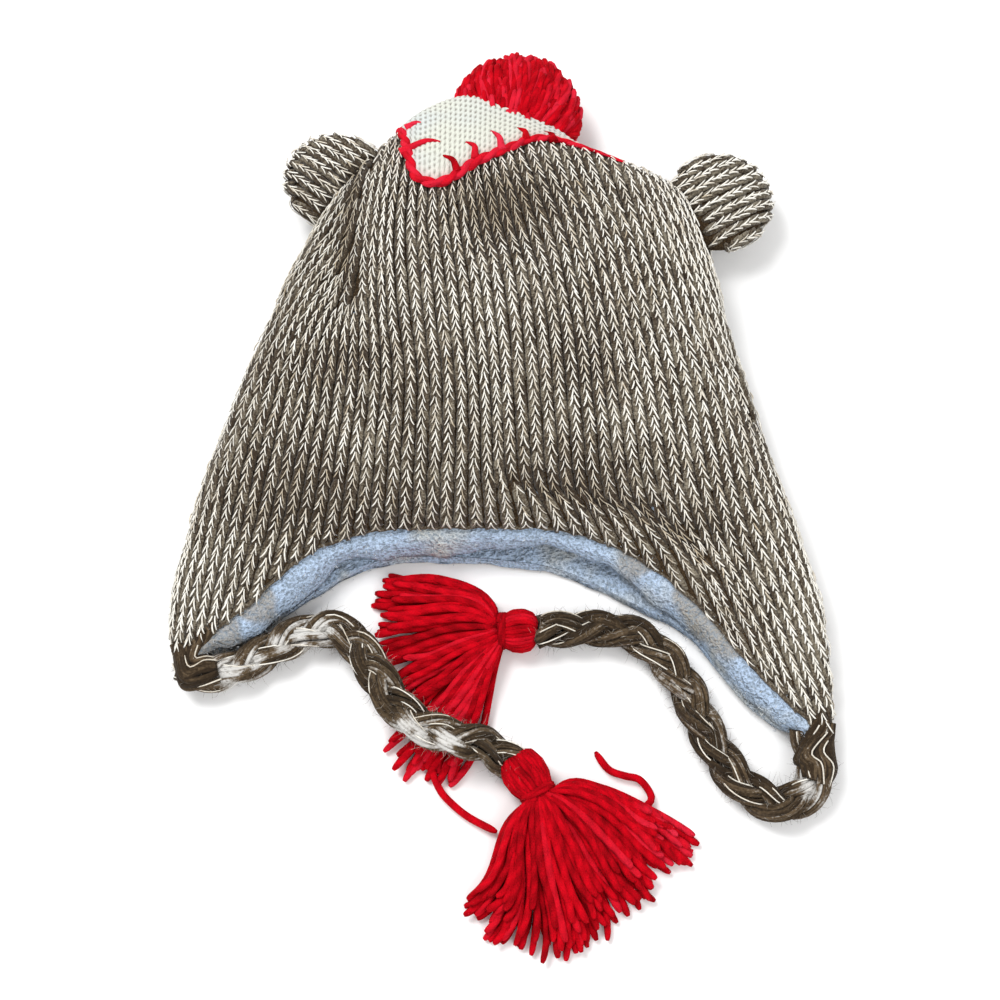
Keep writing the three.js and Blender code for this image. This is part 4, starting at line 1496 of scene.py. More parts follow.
@dataclass
class Plait:
    """A tie plaited from three thick strands of roving."""

    side: str
    route_mm: tuple
    pale_mm: tuple
    seed: int
    period: float = 0.054
    sway: float = 0.0047
    rise: float = 0.0026
    strand_radius: float = 0.0030
    yarns: int = 12
    yarn_radius: float = 0.00125
    cream_radius: float = 0.00030
    fibre_count: int = 1900
    fibre_length: float = 0.0046
    fibre_radius: float = 0.00007
    yarn_turn: float = 0.016
    cream_depth: float = 0.0016
    cream_floor: float = 0.0006
    phase: float = 0.0
    lead: int = 0

    def build(self, finishes: dict, tassel: bpy.types.Object) -> None:
        """Args:
            finishes: The materials by name.
            tassel: Not used.
        """
        draw = np.random.default_rng(self.seed)
        path = smooth_route(from_table(self.route_mm), ROUTE_STEP)
        lead = np.arange(self.lead, 0, -1)[:, None]
        path = np.concatenate((path[:1] + (path[:1] - path[1:2]) * lead, path,
                               path[-1:] + (path[-1:] - path[-2:-1]) * np.array((1, 2, 3))[:, None]))
        along, across, up = frames(path)
        place = run_length(path)
        roving, cream, roots, offs = Strands(5), Strands(5), [], []
        for strand in range(3):
            phase = 2 * np.pi * (place / self.period + strand / 3) + self.phase
            middle = (path + across * (self.sway * np.sin(phase))[:, None]
                      + up * (self.rise * np.sin(2 * phase))[:, None])
            ways, beside, over = frames(middle)
            swell = 1 + 0.10 * np.cos(2 * phase)
            for index in range(self.yarns):
                turn = 2 * np.pi * index / self.yarns + place / self.yarn_turn + draw.normal(0, 0.2)
                wander = 1 + 0.10 * np.sin(place / draw.uniform(0.006, 0.012) + draw.uniform(0, 6.3))
                off = beside * np.cos(turn)[:, None] + over * np.sin(turn)[:, None]
                line = middle + off * (self.strand_radius * swell * wander)[:, None]
                line[:, 2] = np.maximum(line[:, 2], self.yarn_radius)
                radius = self.yarn_radius * draw.uniform(0.8, 1.15)
                tone = 0.55 * draw.random() + self._paleness(line)
                roving.line(line, radius, tone, off)
                roots.append(line + off * radius)
                offs.append(off)
            for way in (-1, 0.6):
                start, pace = draw.uniform(0, 6.3), draw.uniform(0.007, 0.010)
                turn = np.pi / 2 + way * 0.85 + 0.45 * np.sin(place / pace + start)
                off = beside * np.cos(turn)[:, None] + over * np.sin(turn)[:, None]
                seen = np.sin(place / draw.uniform(0.0065, 0.0085) + draw.uniform(0, 6.3))
                seen = seen + 0.3 * abs(way)
                sunk = self.cream_depth * np.clip(0.8 - 1.6 * seen, 0, 1)
                reach = self.strand_radius * swell + self.yarn_radius * 0.95 - sunk
                line = middle + off * reach[:, None]
                line[:, 2] = np.maximum(line[:, 2], self.cream_floor)
                tones = np.clip(0.25 + 0.4 * draw.random() + 0.5 * self._paleness(line), 0, 1)
                cream.line(line, self.cream_radius, tones, off)
        main = roving.mesh(f"tie_{self.side}_plait", finishes["plait"])
        lines = cream.mesh(f"tie_{self.side}_cream", finishes["plating"])
        roots, offs = np.concatenate(roots), np.concatenate(offs)
        pale = 0.25 + self._paleness(roots)
        chosen = draw.choice(len(roots), self.fibre_count, replace=False, p=pale / pale.sum())
        steps = np.tile(along, (3 * self.yarns, 1))
        fuzz = Fuzz(draw, self.fibre_length, self.fibre_radius)
        fibres = fuzz.mesh(f"tie_{self.side}_fibres", roots[chosen], offs[chosen], steps[chosen],
                           finishes["fibre"])
        finished(main, "plait", f"tie_{self.side}")
        finished(lines, "plait")
        finished(fibres, "plait")

    def _paleness(self, line: np.ndarray) -> np.ndarray:
        """How pale each point of a yarn is near the tie's pale spots."""
        pale = np.zeros(len(line))
        for x, y, radius in self.pale_mm:
            spot = np.array((x, y)) * MM + TABLE_ORIGIN[:2]
            distance = np.linalg.norm(line[:, :2] - spot, axis=-1)
            pale = np.maximum(pale, np.exp(-((distance / (radius * MM)) ** 2)))
        return pale


@dataclass
class Gather:
    """Bare yarns of a flap's corner that run down into its tie."""

    form: HatForm
    side: str
    route_mm: tuple
    angles: tuple[float, float]
    seed: int
    count: int = 24
    radius: float = 0.0014

    def build(self, yarn: bpy.types.Material, plating: bpy.types.Material) -> None:
        """Makes the yarns.

        Args:
            yarn: Finish of the brown yarn.
            plating: Finish of the cream yarn.
        """
        draw = np.random.default_rng(self.seed)
        path = smooth_route(from_table(self.route_mm), ROUTE_STEP)
        _, across, up = frames(path)
        strands, thin = Strands(6), Strands(4)
        for index in range(self.count):
            share = (index + 0.5) / self.count
            angle = np.array(self.angles[0] + (self.angles[1] - self.angles[0]) * share)
            start = self.form.shell(draw.uniform(0.004, 0.03), angle, -0.0006)
            edge = self.form.shell(0.0, angle, 0.0004, 0.0012)
            turn = np.pi * (0.02 + 0.80 * share) + draw.normal(0, 0.12)
            spots = [start, edge]
            for row, reach in ((3, 0.0084), (6, 0.0080), (10, 0.0064)):
                off = across[row] * math.cos(turn) + up[row] * math.sin(turn)
                spots.append(path[row] + off * reach)
                turn += draw.uniform(0.15, 0.75)
            line = smooth_route(np.array(spots), 0.0016)
            line[:, 2] = np.maximum(line[:, 2], self.radius)
            u = np.linspace(0, 1, len(line))
            taper = np.interp(u, (0, 0.15, 0.8, 1), (0.6, 1, 1, 0.5))
            radii = self.radius * taper * draw.uniform(0.7, 1.15)
            strands.line(line, radii, draw.uniform(-0.1, 0.45, 1))
            if index % 8 == 2:
                raised = line[4:] + np.array((0.0008, 0.0, 0.0015))
                thin.line(raised, 0.00034, draw.uniform(0.1, 0.6, 1))
        finished(strands.mesh(f"knit_gather_{self.side}", yarn), "knit")
        finished(thin.mesh(f"knit_gather_{self.side}_cream", plating), "knit")


@dataclass
class Tassel:
    """A yarn tassel: a bound head and strands that fan out over the surface."""

    side: str
    head_mm: tuple
    ends_mm: tuple
    loose_mm: tuple
    seed: int
    heading: float
    leave: tuple[float, float]
    land: tuple[float, float]
    layers: tuple = (44, 40, 34, 24)
    yarn_radius: float = 0.00178
    head_radius: float = 0.0100
    sides: int = 7
    steps: int = 19
    reaches: tuple = (1.0, 0.98, 0.90, 0.80)
    bunching: float = 0.24
    scatter: float = 0.0014
    widest_turn: float = 1.9
    neck_half_width: float = 0.0062
    neck_step: float = 0.0030
    leave_handle: float = 0.37
    land_handle: float = 0.36
    wave: float = 0.0010
    layer_lift: float = 0.0023
    fall_end: float = 0.72
    arch: float = 0.0016
    binding_radius: float = 0.00125

    def build(self, material: bpy.types.Material) -> bpy.types.Object:
        """Makes the tassel.

        Args:
            material: Its yarn.

        Returns:
            The object.
        """
        draw = np.random.default_rng(self.seed)
        strands = Strands(self.sides)
        head = smooth_route(from_table(self.head_mm), 0.0011)
        _, across, up = frames(head)
        self._head(strands, draw, head, across, up)
        self._binding(strands, draw, head, across, up)
        self._fan(strands, draw, head[-1])
        for points in self.loose_mm:
            line = smooth_route(from_table(points), 0.0016)
            radii = np.full(len(line), self.yarn_radius * 0.95)
            radii[-3:] *= (0.95, 0.8, 0.45)
            strands.line(line, radii, draw.uniform(0.2, 0.5, 1))
        piece = strands.mesh(f"tassel_{self.side}_yarn", material)
        return finished(piece, "red_yarn", f"tassel_{self.side}")

    def _head(self, strands: Strands, draw: np.random.Generator, head: np.ndarray,
              across: np.ndarray, up: np.ndarray) -> None:
        """Adds the thin pressed yarns that run along the head to the binding.

        Args:
            strands: Where they go.
            draw: Where chance comes from.
            head: Points along the head, from the tie to the neck.
            across: Directions across it in the plane.
            up: Directions up from it.
        """
        count = 30
        u = np.linspace(0, 1, len(head))
        girth = np.interp(u, (0, 0.10, 0.35, 0.6, 0.82, 1), (0.42, 0.76, 0.90, 0.86, 0.68, 0.60))
        for index in range(count):
            turn = 2 * np.pi * (index + draw.uniform(-0.25, 0.25)) / count + 0.30 * u
            off = across * np.cos(turn)[:, None] + up * 0.8 * np.sin(turn)[:, None]
            line = head + off * (girth * self.head_radius)[:, None]
            radius = self.yarn_radius * draw.uniform(0.62, 0.76)
            strands.line(line, radius, draw.uniform(0, 0.6, 1), unit(off))

    def _binding(self, strands: Strands, draw: np.random.Generator, head: np.ndarray,
                 across: np.ndarray, up: np.ndarray) -> None:
        """Adds the turns of yarn round the neck.

        Args:
            strands: Where they go.
            draw: Where chance comes from.
            head: Points along the head, from the tie to the neck.
            across: Directions across it in the plane.
            up: Directions up from it.
        """
        u = np.linspace(0, 1, 60)
        row = (0.84 + 0.14 * u) * (len(head) - 1)
        low = row.astype(int)
        share = (row - low)[:, None]
        middle, side, over = (v[low] * (1 - share) + v[low + 1] * share for v in (head, across, up))
        angle = 2 * np.pi * 2.2 * u
        off = side * np.cos(angle)[:, None] + over * 0.85 * np.sin(angle)[:, None]
        line = middle + off * (self.head_radius * 0.74)
        strands.line(line, self.binding_radius, draw.uniform(0, 0.3, 1), unit(off))

    def _fan(self, strands: Strands, draw: np.random.Generator, neck: np.ndarray) -> None:
        """Adds the strands that arch out from the neck, in layers that lie on each other.

        Args:
            strands: Where they go.
            draw: Where chance comes from.
            neck: The point that they start from.
        """
        ends = from_table(self.ends_mm)
        u = np.concatenate((np.linspace(0, 0.95, self.steps - 3), (0.975, 0.99, 1.0)))
        u = u[None, :, None]
        for layer, count in enumerate(self.layers):
            share = (np.arange(count) + draw.uniform(0.1, 0.9, count)) / count
            bunches = 11 + 2 * layer
            bunch = np.floor(share * bunches).astype(int)
            share = share + self.bunching * ((bunch + 0.5) / bunches - share)
            place = share * (len(ends) - 1)
            low = place.astype(int).clip(0, len(ends) - 2)
            part = (place - low)[:, None]
            goal = ends[low] * (1 - part) + ends[low + 1] * part
            spread = draw.uniform(0.92, 1.04, bunches)[bunch][:, None]
            reach = spread * draw.uniform(0.94, 1.02, (count, 1)) * self.reaches[layer]
            goal = neck + (goal - neck) * reach
            goal[:, :2] += draw.normal(0, self.scatter, (count, 2))
            offset = goal - neck
            turn = np.arctan2(offset[:, 1], offset[:, 0]) - self.heading
            turn = (turn + np.pi) % (2 * np.pi) - np.pi
            leave_factor = np.where(turn < 0, *self.leave)
            swing = np.clip(turn * leave_factor, -self.widest_turn, self.widest_turn)
            leave = self.heading + swing + draw.normal(0, 0.10, count)
            land = self.heading + turn * np.where(turn < 0, *self.land) + draw.normal(0, 0.14, count)
            beside = np.array((-math.sin(self.heading), math.cos(self.heading), 0))
            start = neck + beside * np.clip(turn / 1.1, -1, 1)[:, None] * self.neck_half_width
            start[:, 2] = neck[2] + (layer - 1.4) * self.neck_step
            length = np.linalg.norm(goal[:, :2] - start[:, :2], axis=-1)[:, None]
            leaving, landing = (np.stack((np.cos(way), np.sin(way), 0 * way), -1) for way in (leave, land))
            first = start + leaving * length * self.leave_handle
            second = goal - landing * length * self.land_handle
            a, b, c, d = (point[:, None] for point in (start, first, second, goal))
            paths = (a * (1 - u) ** 3 + 3 * b * u * (1 - u) ** 2 + 3 * c * u**2 * (1 - u) + d * u**3)
            side = np.stack((-np.sin(land), np.cos(land), 0 * land), -1)[:, None]
            wave = np.sin(u * draw.uniform(5, 10, (count, 1, 1)) + draw.uniform(0, 6.3, (count, 1, 1)))
            paths = paths + side * wave * self.wave * u
            rest = self.yarn_radius * 0.9 + layer * self.layer_lift + draw.uniform(0, 0.0007, (count, 1))
            fall = np.clip(u[..., 0] / self.fall_end, 0, 1)
            fall = fall * fall * (3 - 2 * fall)
            paths[..., 2] = start[:, 2:3] * (1 - fall) + rest * fall
            paths[..., 2] += self.arch * np.sin(np.pi * np.clip(u[..., 0] * 1.6, 0, 1))
            radii = self.yarn_radius * draw.uniform(0.88, 1.08, (count, 1))
            radii = radii * np.interp(u[0, :, 0], (0, 0.28, 0.90, 0.96, 0.985, 1),
                                      (0.62, 1, 1, 0.93, 0.76, 0.45))
            # Painted highlight: strands in the fan's second half are painted pale pink toward their ends
            pink_tint = np.clip(share - 0.45, 0, 1)[:, None] * u[..., 0] ** 3
            pink_tint = pink_tint * draw.uniform(0.2, 1.1, (count, 1))
            tone = draw.uniform(0.0, 0.62, (count, 1)) + pink_tint
            strands.add(paths, radii, np.broadcast_to((0, 0, 1.0), paths.shape), tone)


@dataclass
class Pompom:
    """A ball of cut yarn ends behind the crown's top edge."""

    form: HatForm
    seed: int = 5
    middle_mm: tuple[float, float, float] = (8.2, 304.6, 17.5)
    reach: tuple[float, float, float] = (0.0315, 0.0330, 0.0180)
    count: int = 820
    yarn_radius: float = 0.00160

    def build(self, material: bpy.types.Material) -> bpy.types.Object:
        """Makes the pompom.

        Args:
            material: Its yarn.

        Returns:
            The object.
        """
        draw = np.random.default_rng(self.seed)
        index = np.arange(self.count)
        height = 1 - (2 * index + 1) / self.count
        angle = index * np.pi * (3 - math.sqrt(5))
        ring = np.sqrt(1 - height**2)
        ways = np.stack((ring * np.cos(angle), ring * np.sin(angle), height), -1)
        ways = unit(ways + draw.normal(0, 0.07, ways.shape))
        middle = from_table(self.middle_mm)
        span = np.array(self.reach) * draw.uniform(0.90, 1.0, (self.count, 1))
        ends = middle + ways * span
        u = np.array((0.0, 0.22, 0.44, 0.66, 0.84, 0.96, 1.0))[None, :, None]
        origin = unit(np.array((-0.10, -1.0, 0.55)) + draw.normal(0, 0.16, (self.count, 3)))
        route = unit(origin[:, None] * (1 - u) + ways[:, None] * (u + 0.02))
        bend = draw.normal(0, 0.0012, (self.count, 1, 3)) * u * (1 - u) * 2
        paths = middle + route * span[:, None] * (0.70 + 0.30 * u**0.8) + bend
        paths[..., 2] = np.maximum(paths[..., 2], self.yarn_radius)
        kept = ~self.form.inside(ends, 0.002) & (ways[:, 1] > -0.35) & (ways[:, 2] > -0.75)
        paths = paths[kept]
        radii = self.yarn_radius * np.array((0.5, 0.8, 1, 1, 1, 0.85, 0.5))
        radii = radii * draw.uniform(0.85, 1.1, (len(paths), 1))
        strands = Strands(6)
        strands.add(paths, radii, np.broadcast_to((0.3, 0.4, 0.86), paths.shape),
                    draw.uniform(0.15, 0.85, len(paths)))
        piece = strands.mesh("pompom_yarn", material)
        return finished(piece, "red_yarn", "pompom")


@dataclass
class Ear:
    """A padded ear whose wales run round it."""

    side: str
    middle: tuple[float, float, float]
    turn: float
    grain: float
    form: HatForm
    width: float = 0.0455
    height: float = 0.0530
    depth: float = 0.0175
    wale_pitch: float = 0.0048
    course_pitch: float = 0.0043

    def build(self, finishes: dict, draw: np.random.Generator) -> None:
        """Makes the ear's pad and its stitches.

        Args:
            finishes: The materials by name.
            draw: Where chance comes from.
        """
        half = np.array((self.width, self.height, self.depth)) / 2
        middle = np.array(self.middle) * (BRIM_WIDTH, HAT_LENGTH, HAT_DEPTH) + TABLE_ORIGIN
        turn = np.array(((math.cos(self.turn), -math.sin(self.turn), 0),
                         (math.sin(self.turn), math.cos(self.turn), 0), (0, 0, 1)))
        mesh = bmesh.new()
        bmesh.ops.create_uvsphere(mesh, u_segments=48, v_segments=28, radius=1.0)
        for vertex in mesh.verts:
            vertex.co = turn @ (np.array(vertex.co) * (half - 0.0011)) + middle
            vertex.co.z = max(vertex.co.z, 0.0004)
        # The pad takes the knit ground's dark colour: painted shade under the ear's stitches
        pad = mesh_object(mesh, f"ear_{self.side}_pad", finishes["ground"])
        finished(pad, "knit", f"ear_{self.side}")
        wales = self._wales(half, turn, middle)
        knit = Knit(draw, course_pitch=self.course_pitch, leg_sides=4)
        for piece in knit.dress(f"ear_{self.side}", wales, finishes["knit"], finishes["plating"]):
            finished(piece, "knit")

    def _wales(self, half: np.ndarray, turn: np.ndarray, middle: np.ndarray) -> list:
        """Stitch places in rings round the ellipsoid, left out where they lie in the crown."""
        grain = np.array((math.cos(self.grain), math.sin(self.grain), 0))
        beside = np.array((-grain[1], grain[0], 0))
        found = []
        reach = 1 / np.linalg.norm(beside / half)
        rings = round(1.86 * reach / (self.wale_pitch * 0.97))
        for offset in np.linspace(-0.94, 0.94, rings) * reach:
            angle = np.linspace(0, 2 * np.pi, 181)
            flat = grain * np.cos(angle)[:, None] + np.array((0, 0, 1)) * np.sin(angle)[:, None]
            scale = 1 / np.linalg.norm(flat / half, axis=-1, keepdims=True)
            shrink = math.sqrt(1 - (offset / reach) ** 2)
            points = flat * scale * shrink + beside * offset
            normals = unit(points / half**2) @ turn.T
            points = points @ turn.T + middle
            length = run_length(points)
            count = max(6, round(length[-1] / self.course_pitch))
            places = (np.arange(count) + 0.5) / count * length[-1]
            at, ahead, behind = (at_places(places + d, length, points) for d in NEARBY)
            normal = at_places(places, length, normals)
            at[:, 2] = np.maximum(at[:, 2], 0.0018)
            keep = ~self.form.inside(at, 0.0008)
            if keep.sum() < 2:
                continue
            found.append(Wale(at[keep], unit(normal[keep]), unit(ahead - behind)[keep],
                              np.full(keep.sum(), self.wale_pitch)))
        return found


@dataclass
class Patch:
    """The cream knitted patch on the crown with its red edging and blanket stitches."""

    form: HatForm
    edge: tuple = ((-0.163, 0.948), (-0.151, 0.900), (-0.141, 0.852), (-0.130, 0.828),
                   (-0.101, 0.816), (-0.075, 0.826), (-0.039, 0.852), (0.021, 0.885),
                   (0.045, 0.900), (0.082, 0.909), (0.128, 0.900))
    shoulder: tuple = ((0.165, 0.888), (0.200, 0.873))
    stitches_mm: tuple = (
        ((-41.9, 273.0), (-34.0, 276.5), (-27.9, 275.5)),
        ((-20.3, 258.8), (-22.0, 263.5), (-26.4, 266.6)),
        ((-11.6, 266.6), (-12.0, 271.5), (-15.8, 274.4)),
        ((0.5, 271.9), (-0.5, 277.5), (-4.2, 281.9)),
        ((12.1, 278.2), (11.6, 282.0), (7.9, 285.1)),
        ((24.7, 278.8), (24.3, 282.0), (20.6, 284.7)),
        ((-42.4, 289.2), (-39.5, 290.6), (-36.7, 290.2)),
    )
    wall: float = 0.0020
    puff: float = 0.0034
    wale_pitch: float = 0.0046
    course_pitch: float = 0.0040

    def build(self, finishes: dict) -> None:
        """Makes the patch, its edging and the stitches that hold it."""
        self._cloth(finishes["cream"])
        self._edging(finishes["red"])

    def _cloth(self, material: bpy.types.Material) -> None:
        """Makes the patch, which wraps over the crown's top edge."""
        left, right = self.edge[0][0] * BRIM_WIDTH, self.edge[-1][0] * BRIM_WIDTH
        columns, rows = 150, 74
        x = np.linspace(left + 0.001, right - 0.0005, columns)
        edge_x, edge_y = (np.array(self.edge) * (BRIM_WIDTH, HAT_LENGTH)).T
        low = np.interp(x, edge_x, edge_y)
        rim_t = np.linspace(0.6, 1, 400)
        rims = [self.form.rail(side, rim_t, 0.0) for side in (LEFT_X, RIGHT_X)]
        rim = np.concatenate((rims[0], rims[1][::-1]))
        high = np.interp(x, rim[:, 0], rim[:, 1]) - 0.00005
        low = np.minimum(low, high - 0.0004)
        u = np.linspace(0, 1, rows)[:, None] ** 0.8
        y = low + (high - low) * (1 - (1 - u) ** 2)
        wide = np.broadcast_to(x, y.shape)
        t, angle = self.form.top_place(wide + TABLE_ORIGIN[0], y + TABLE_ORIGIN[1])
        back_t, back_angle = t[::-1][1:30], 2 * np.pi - angle[::-1][1:30]
        t, angle = np.concatenate((t, back_t)), np.concatenate((angle, back_angle))
        flat = self.form.shell(t, angle, -GAP)
        length = np.cumsum(np.linalg.norm(np.diff(flat, axis=0, prepend=flat[:1]), axis=-1), axis=0)
        wale = np.broadcast_to(wide[0] / self.wale_pitch, length.shape)
        course = length / self.course_pitch + np.broadcast_to(x * 30, length.shape)
        slope = np.abs((wale % 1) - 0.5) * 2
        leg = 0.5 + 0.5 * np.cos(2 * np.pi * (course + 0.62 * slope))
        rib = 0.5 - 0.5 * np.cos(2 * np.pi * 2 * wale)
        relief = 0.45 * leg + 0.55 * rib
        # Painted shade: darker where the relief is low, between the stitches
        hollow_shade = np.clip(1 - relief * 1.9, 0, 1)
        lift = self.wall * (0.62 + 0.38 * relief)
        rolled = np.clip(np.minimum(u, 1) * 14, 0, 1)
        lift[:rows] *= 0.35 + 0.65 * np.sqrt(rolled)
        swell = np.exp(-(((u[:, 0] - 1) / 0.34) ** 2))
        swell = np.concatenate((swell, np.linspace(1, 0, len(lift) - rows)))
        share = np.clip((x - left) / (right - left), 0, 1)
        lift += self.puff * swell[:, None] * np.sin(np.pi * share) ** 0.7
        out = self.form.outward(t, angle, np.minimum(t + NEAR_T, 1), t - NEAR_T, NEAR_T)
        outer = flat + out * lift[..., None]
        grid = np.concatenate((outer, flat[::-1]))
        grid[..., 2] = np.maximum(grid[..., 2], 0.0002)
        mesh = grid_mesh(grid)
        tones = np.concatenate((hollow_shade, np.zeros_like(hollow_shade))).ravel()
        # A pink tint that fades over about 3 mm from the red edging into the patch
        pink_tints = np.exp(-np.maximum(y - low, 0) / 0.0028)
        pink_tints = np.concatenate((pink_tints, np.zeros((len(grid) - rows, columns)))).ravel()
        tone_layer = mesh.verts.layers.float.new("tone")
        pink_tint_layer = mesh.verts.layers.float.new("pink_tint")
        for vertex, tone, pink_tint in zip(mesh.verts, tones, pink_tints):
            vertex[tone_layer] = tone
            vertex[pink_tint_layer] = pink_tint
        piece = mesh_object(mesh, "crown_patch_knit", material)
        finished(piece, "cream_knit", "crown_patch")

    def _edging(self, material: bpy.types.Material) -> None:
        """Makes the red edging of two yarns that turn round each other, and the blanket stitches."""
        draw = np.random.default_rng(21)
        strands = Strands(8)
        route = np.array([(*p, 0.0) for p in (*self.edge, *self.shoulder)])
        route = smooth_route(route * (BRIM_WIDTH, HAT_LENGTH, 1), 0.0010)
        x, y = route[:, 0] + TABLE_ORIGIN[0], route[:, 1] + TABLE_ORIGIN[1]
        u = np.linspace(0, 1, len(route))
        _, across, _ = frames(np.stack((x, y, np.zeros_like(x)), -1))
        weight = np.interp(u, (0, 0.25, 0.45, 0.6, 0.8, 0.9, 1), (1.1, 1.2, 1.3, 1.1, 0.95, 0.6, 0.45))
        twist = 2 * np.pi * np.arange(len(route)) * 0.0010 / 0.0150
        for strand in (0, 1):
            sway = 0.00085 * weight * np.cos(twist + np.pi * strand)
            lift = 0.0015 * weight + 0.0006 * weight * np.sin(twist + np.pi * strand)
            line = self.form.above(x + across[:, 0] * sway, y + across[:, 1] * sway, 0.0)
            line[:, 2] += lift
            strands.line(line, 0.00135 * weight, draw.random(1))
        for points in self.stitches_mm:
            first, second = np.array(points[0]), np.array(points[1])
            rooted = (tuple(first + (first - second) * 0.60), *points)
            line = smooth_route(np.array([(*p, 0.0) for p in rooted]) * MM + TABLE_ORIGIN, 0.0008)
            line = self.form.above(line[:, 0], line[:, 1], 0.0)
            v = np.linspace(0, 1, len(line))
            line[:, 2] += 0.0016 + self.wall * np.sin(np.pi * np.clip(0.2 + v * 0.75, 0, 1)) * 0.6
            radii = 0.00150 * np.interp(v, (0, 0.25, 0.6, 1), (1.5, 1.15, 0.9, 0.35))
            strands.line(line, radii, draw.random(1))
        piece = strands.mesh("patch_edging_yarn", material)
        finished(piece, "red_yarn", "patch_edging")


def cream_finish() -> bpy.types.Material:
    """The soft brushed cream yarn of the patch, with painted shade between its stitches."""
    finish = Finish("cream_knit", 0.95, 0.3)
    hollow_shade = finish.attribute("tone")
    speck = finish.noise(0.0010, 3.0)
    zone = finish.noise(0.030, 1.0)
    pale = finish.mix(linear(204, 210, 208), PALETTE.cream, zone.ramp(0.3, 0.62))
    # Pink tint next to the red edging
    pale = finish.mix(pale, linear(226, 96, 110), finish.attribute("pink_tint") * 0.55)
    share = (hollow_shade * 1.1 + speck * 0.35 - 0.25).clamped()
    # The brown-grey is the painted shade between stitches
    finish.colour(finish.mix(pale, linear(112, 104, 92), share))
    finish.bump(speck, 0.0009)
    return finish.material


def plait_finish() -> bpy.types.Material:
    """The fuzzy grey-brown roving of the ties, with pale spots."""
    finish = Finish("plait", 1.0, 0.03)
    ways = finish.node("ShaderNodeUVMap", {"uv_map": "yarn"})
    stretch = {0: ways, 1: (6.0, 150.0, 1.0)}
    long = finish.node("ShaderNodeVectorMath", {"operation": "MULTIPLY"}, stretch)
    streak = finish.node("ShaderNodeTexNoise", {}, {"Vector": long, "Scale": 1.0, "Detail": 3.0}, "Fac")
    speck = finish.noise(0.0012, 3.0)
    tone = finish.attribute("tone")
    share = (tone * 0.66 + streak * 0.75 + speck * 0.45 - 0.34).clamped()
    stops = [(0.0, linear(26, 18, 9)), (0.35, PALETTE.wool_dark), (0.6, PALETTE.wool_mid),
             (0.85, linear(206, 204, 200))]
    finish.colour(finish.node("ShaderNodeValToRGB", {"stops": stops}, {"Fac": share}))
    finish.bump(speck + streak, 0.0007)
    return finish.material


def fibre_finish(name: str, dark: Colour, pale: Colour) -> bpy.types.Material:
    """Loose fibres between two colours."""
    finish = Finish(name, 0.9, 0.2)
    finish.colour(finish.mix(dark, pale, finish.attribute("tone")))
    return finish.material


# Pale spots of the ties from the tables' origin: x, y, radius
TIE_LEFT_PALE_MM = ((-121.5, 29.8, 7), (-108.4, 33.5, 4), (-98.2, 41.7, 4), (-88.6, 46.3, 5),
                    (-78.9, 47.7, 5), (-41.4, -0.2, 5), (-34.5, -2.8, 5), (-23.2, -5.9, 5))
TIE_RIGHT_PALE_MM = ((133.2, -19.4, 5), (134.7, -24.7, 4))

# Of each tassel, from the tables' origin: the route of its head, the curve that its strands'
# ends reach, and the routes of its loose strands
TASSEL_LEFT_HEAD_MM = ((6.1, -8.7, 9), (12.2, -18.1, 9), (17.8, -26.8, 8.5))
TASSEL_LEFT_ENDS_MM = ((-19.5, -76.0, 2), (-9.5, -82.0, 2), (-1.3, -91.0, 2), (19.2, -99.5, 2),
                       (34.1, -98.0, 2), (42.7, -89.0, 2), (52.3, -80.5, 2), (66.7, -71.1, 2),
                       (65.5, -63.4, 2), (85.2, -56.9, 2), (80.6, -49.5, 2), (83.0, -43.0, 2),
                       (72.0, -34.0, 2))
TASSEL_LEFT_LOOSE_MM = (((44.0, -34.0, 5), (56.0, -32.5, 4), (63.7, -29.1, 3), (66.0, -24.7, 3),
                         (61.3, -17.6, 3), (54.8, -15.8, 3), (47.8, -13.1, 3), (42.7, -6.4, 3),
                         (42.0, -5.0, 3)),)
TASSEL_RIGHT_HEAD_MM = ((15.6, 48.1, 9), (8.0, 48.6, 9), (-0.4, 48.7, 8.5))
TASSEL_RIGHT_ENDS_MM = ((-46.0, 76.5, 2), (-52.0, 73.5, 2), (-54.2, 69.0, 2), (-55.9, 59.6, 2),
                        (-57.4, 46.5, 2), (-51.3, 32.5, 2), (-48.0, 18.7, 2), (-50.8, 2.8, 2),
                        (-43.9, -15.1, 2), (-36.0, -12.0, 2), (-29.0, -18.6, 2), (-20.5, -19.2, 2))
TASSEL_RIGHT_LOOSE_MM = (((-30.0, 8.0, 3), (-32.0, -2.0, 3), (-30.7, -10.9, 3), (-26.2, -22.0, 3),
                          (-20.9, -28.2, 3), (-13.1, -34.4, 3), (-1.3, -40.6, 3)),)


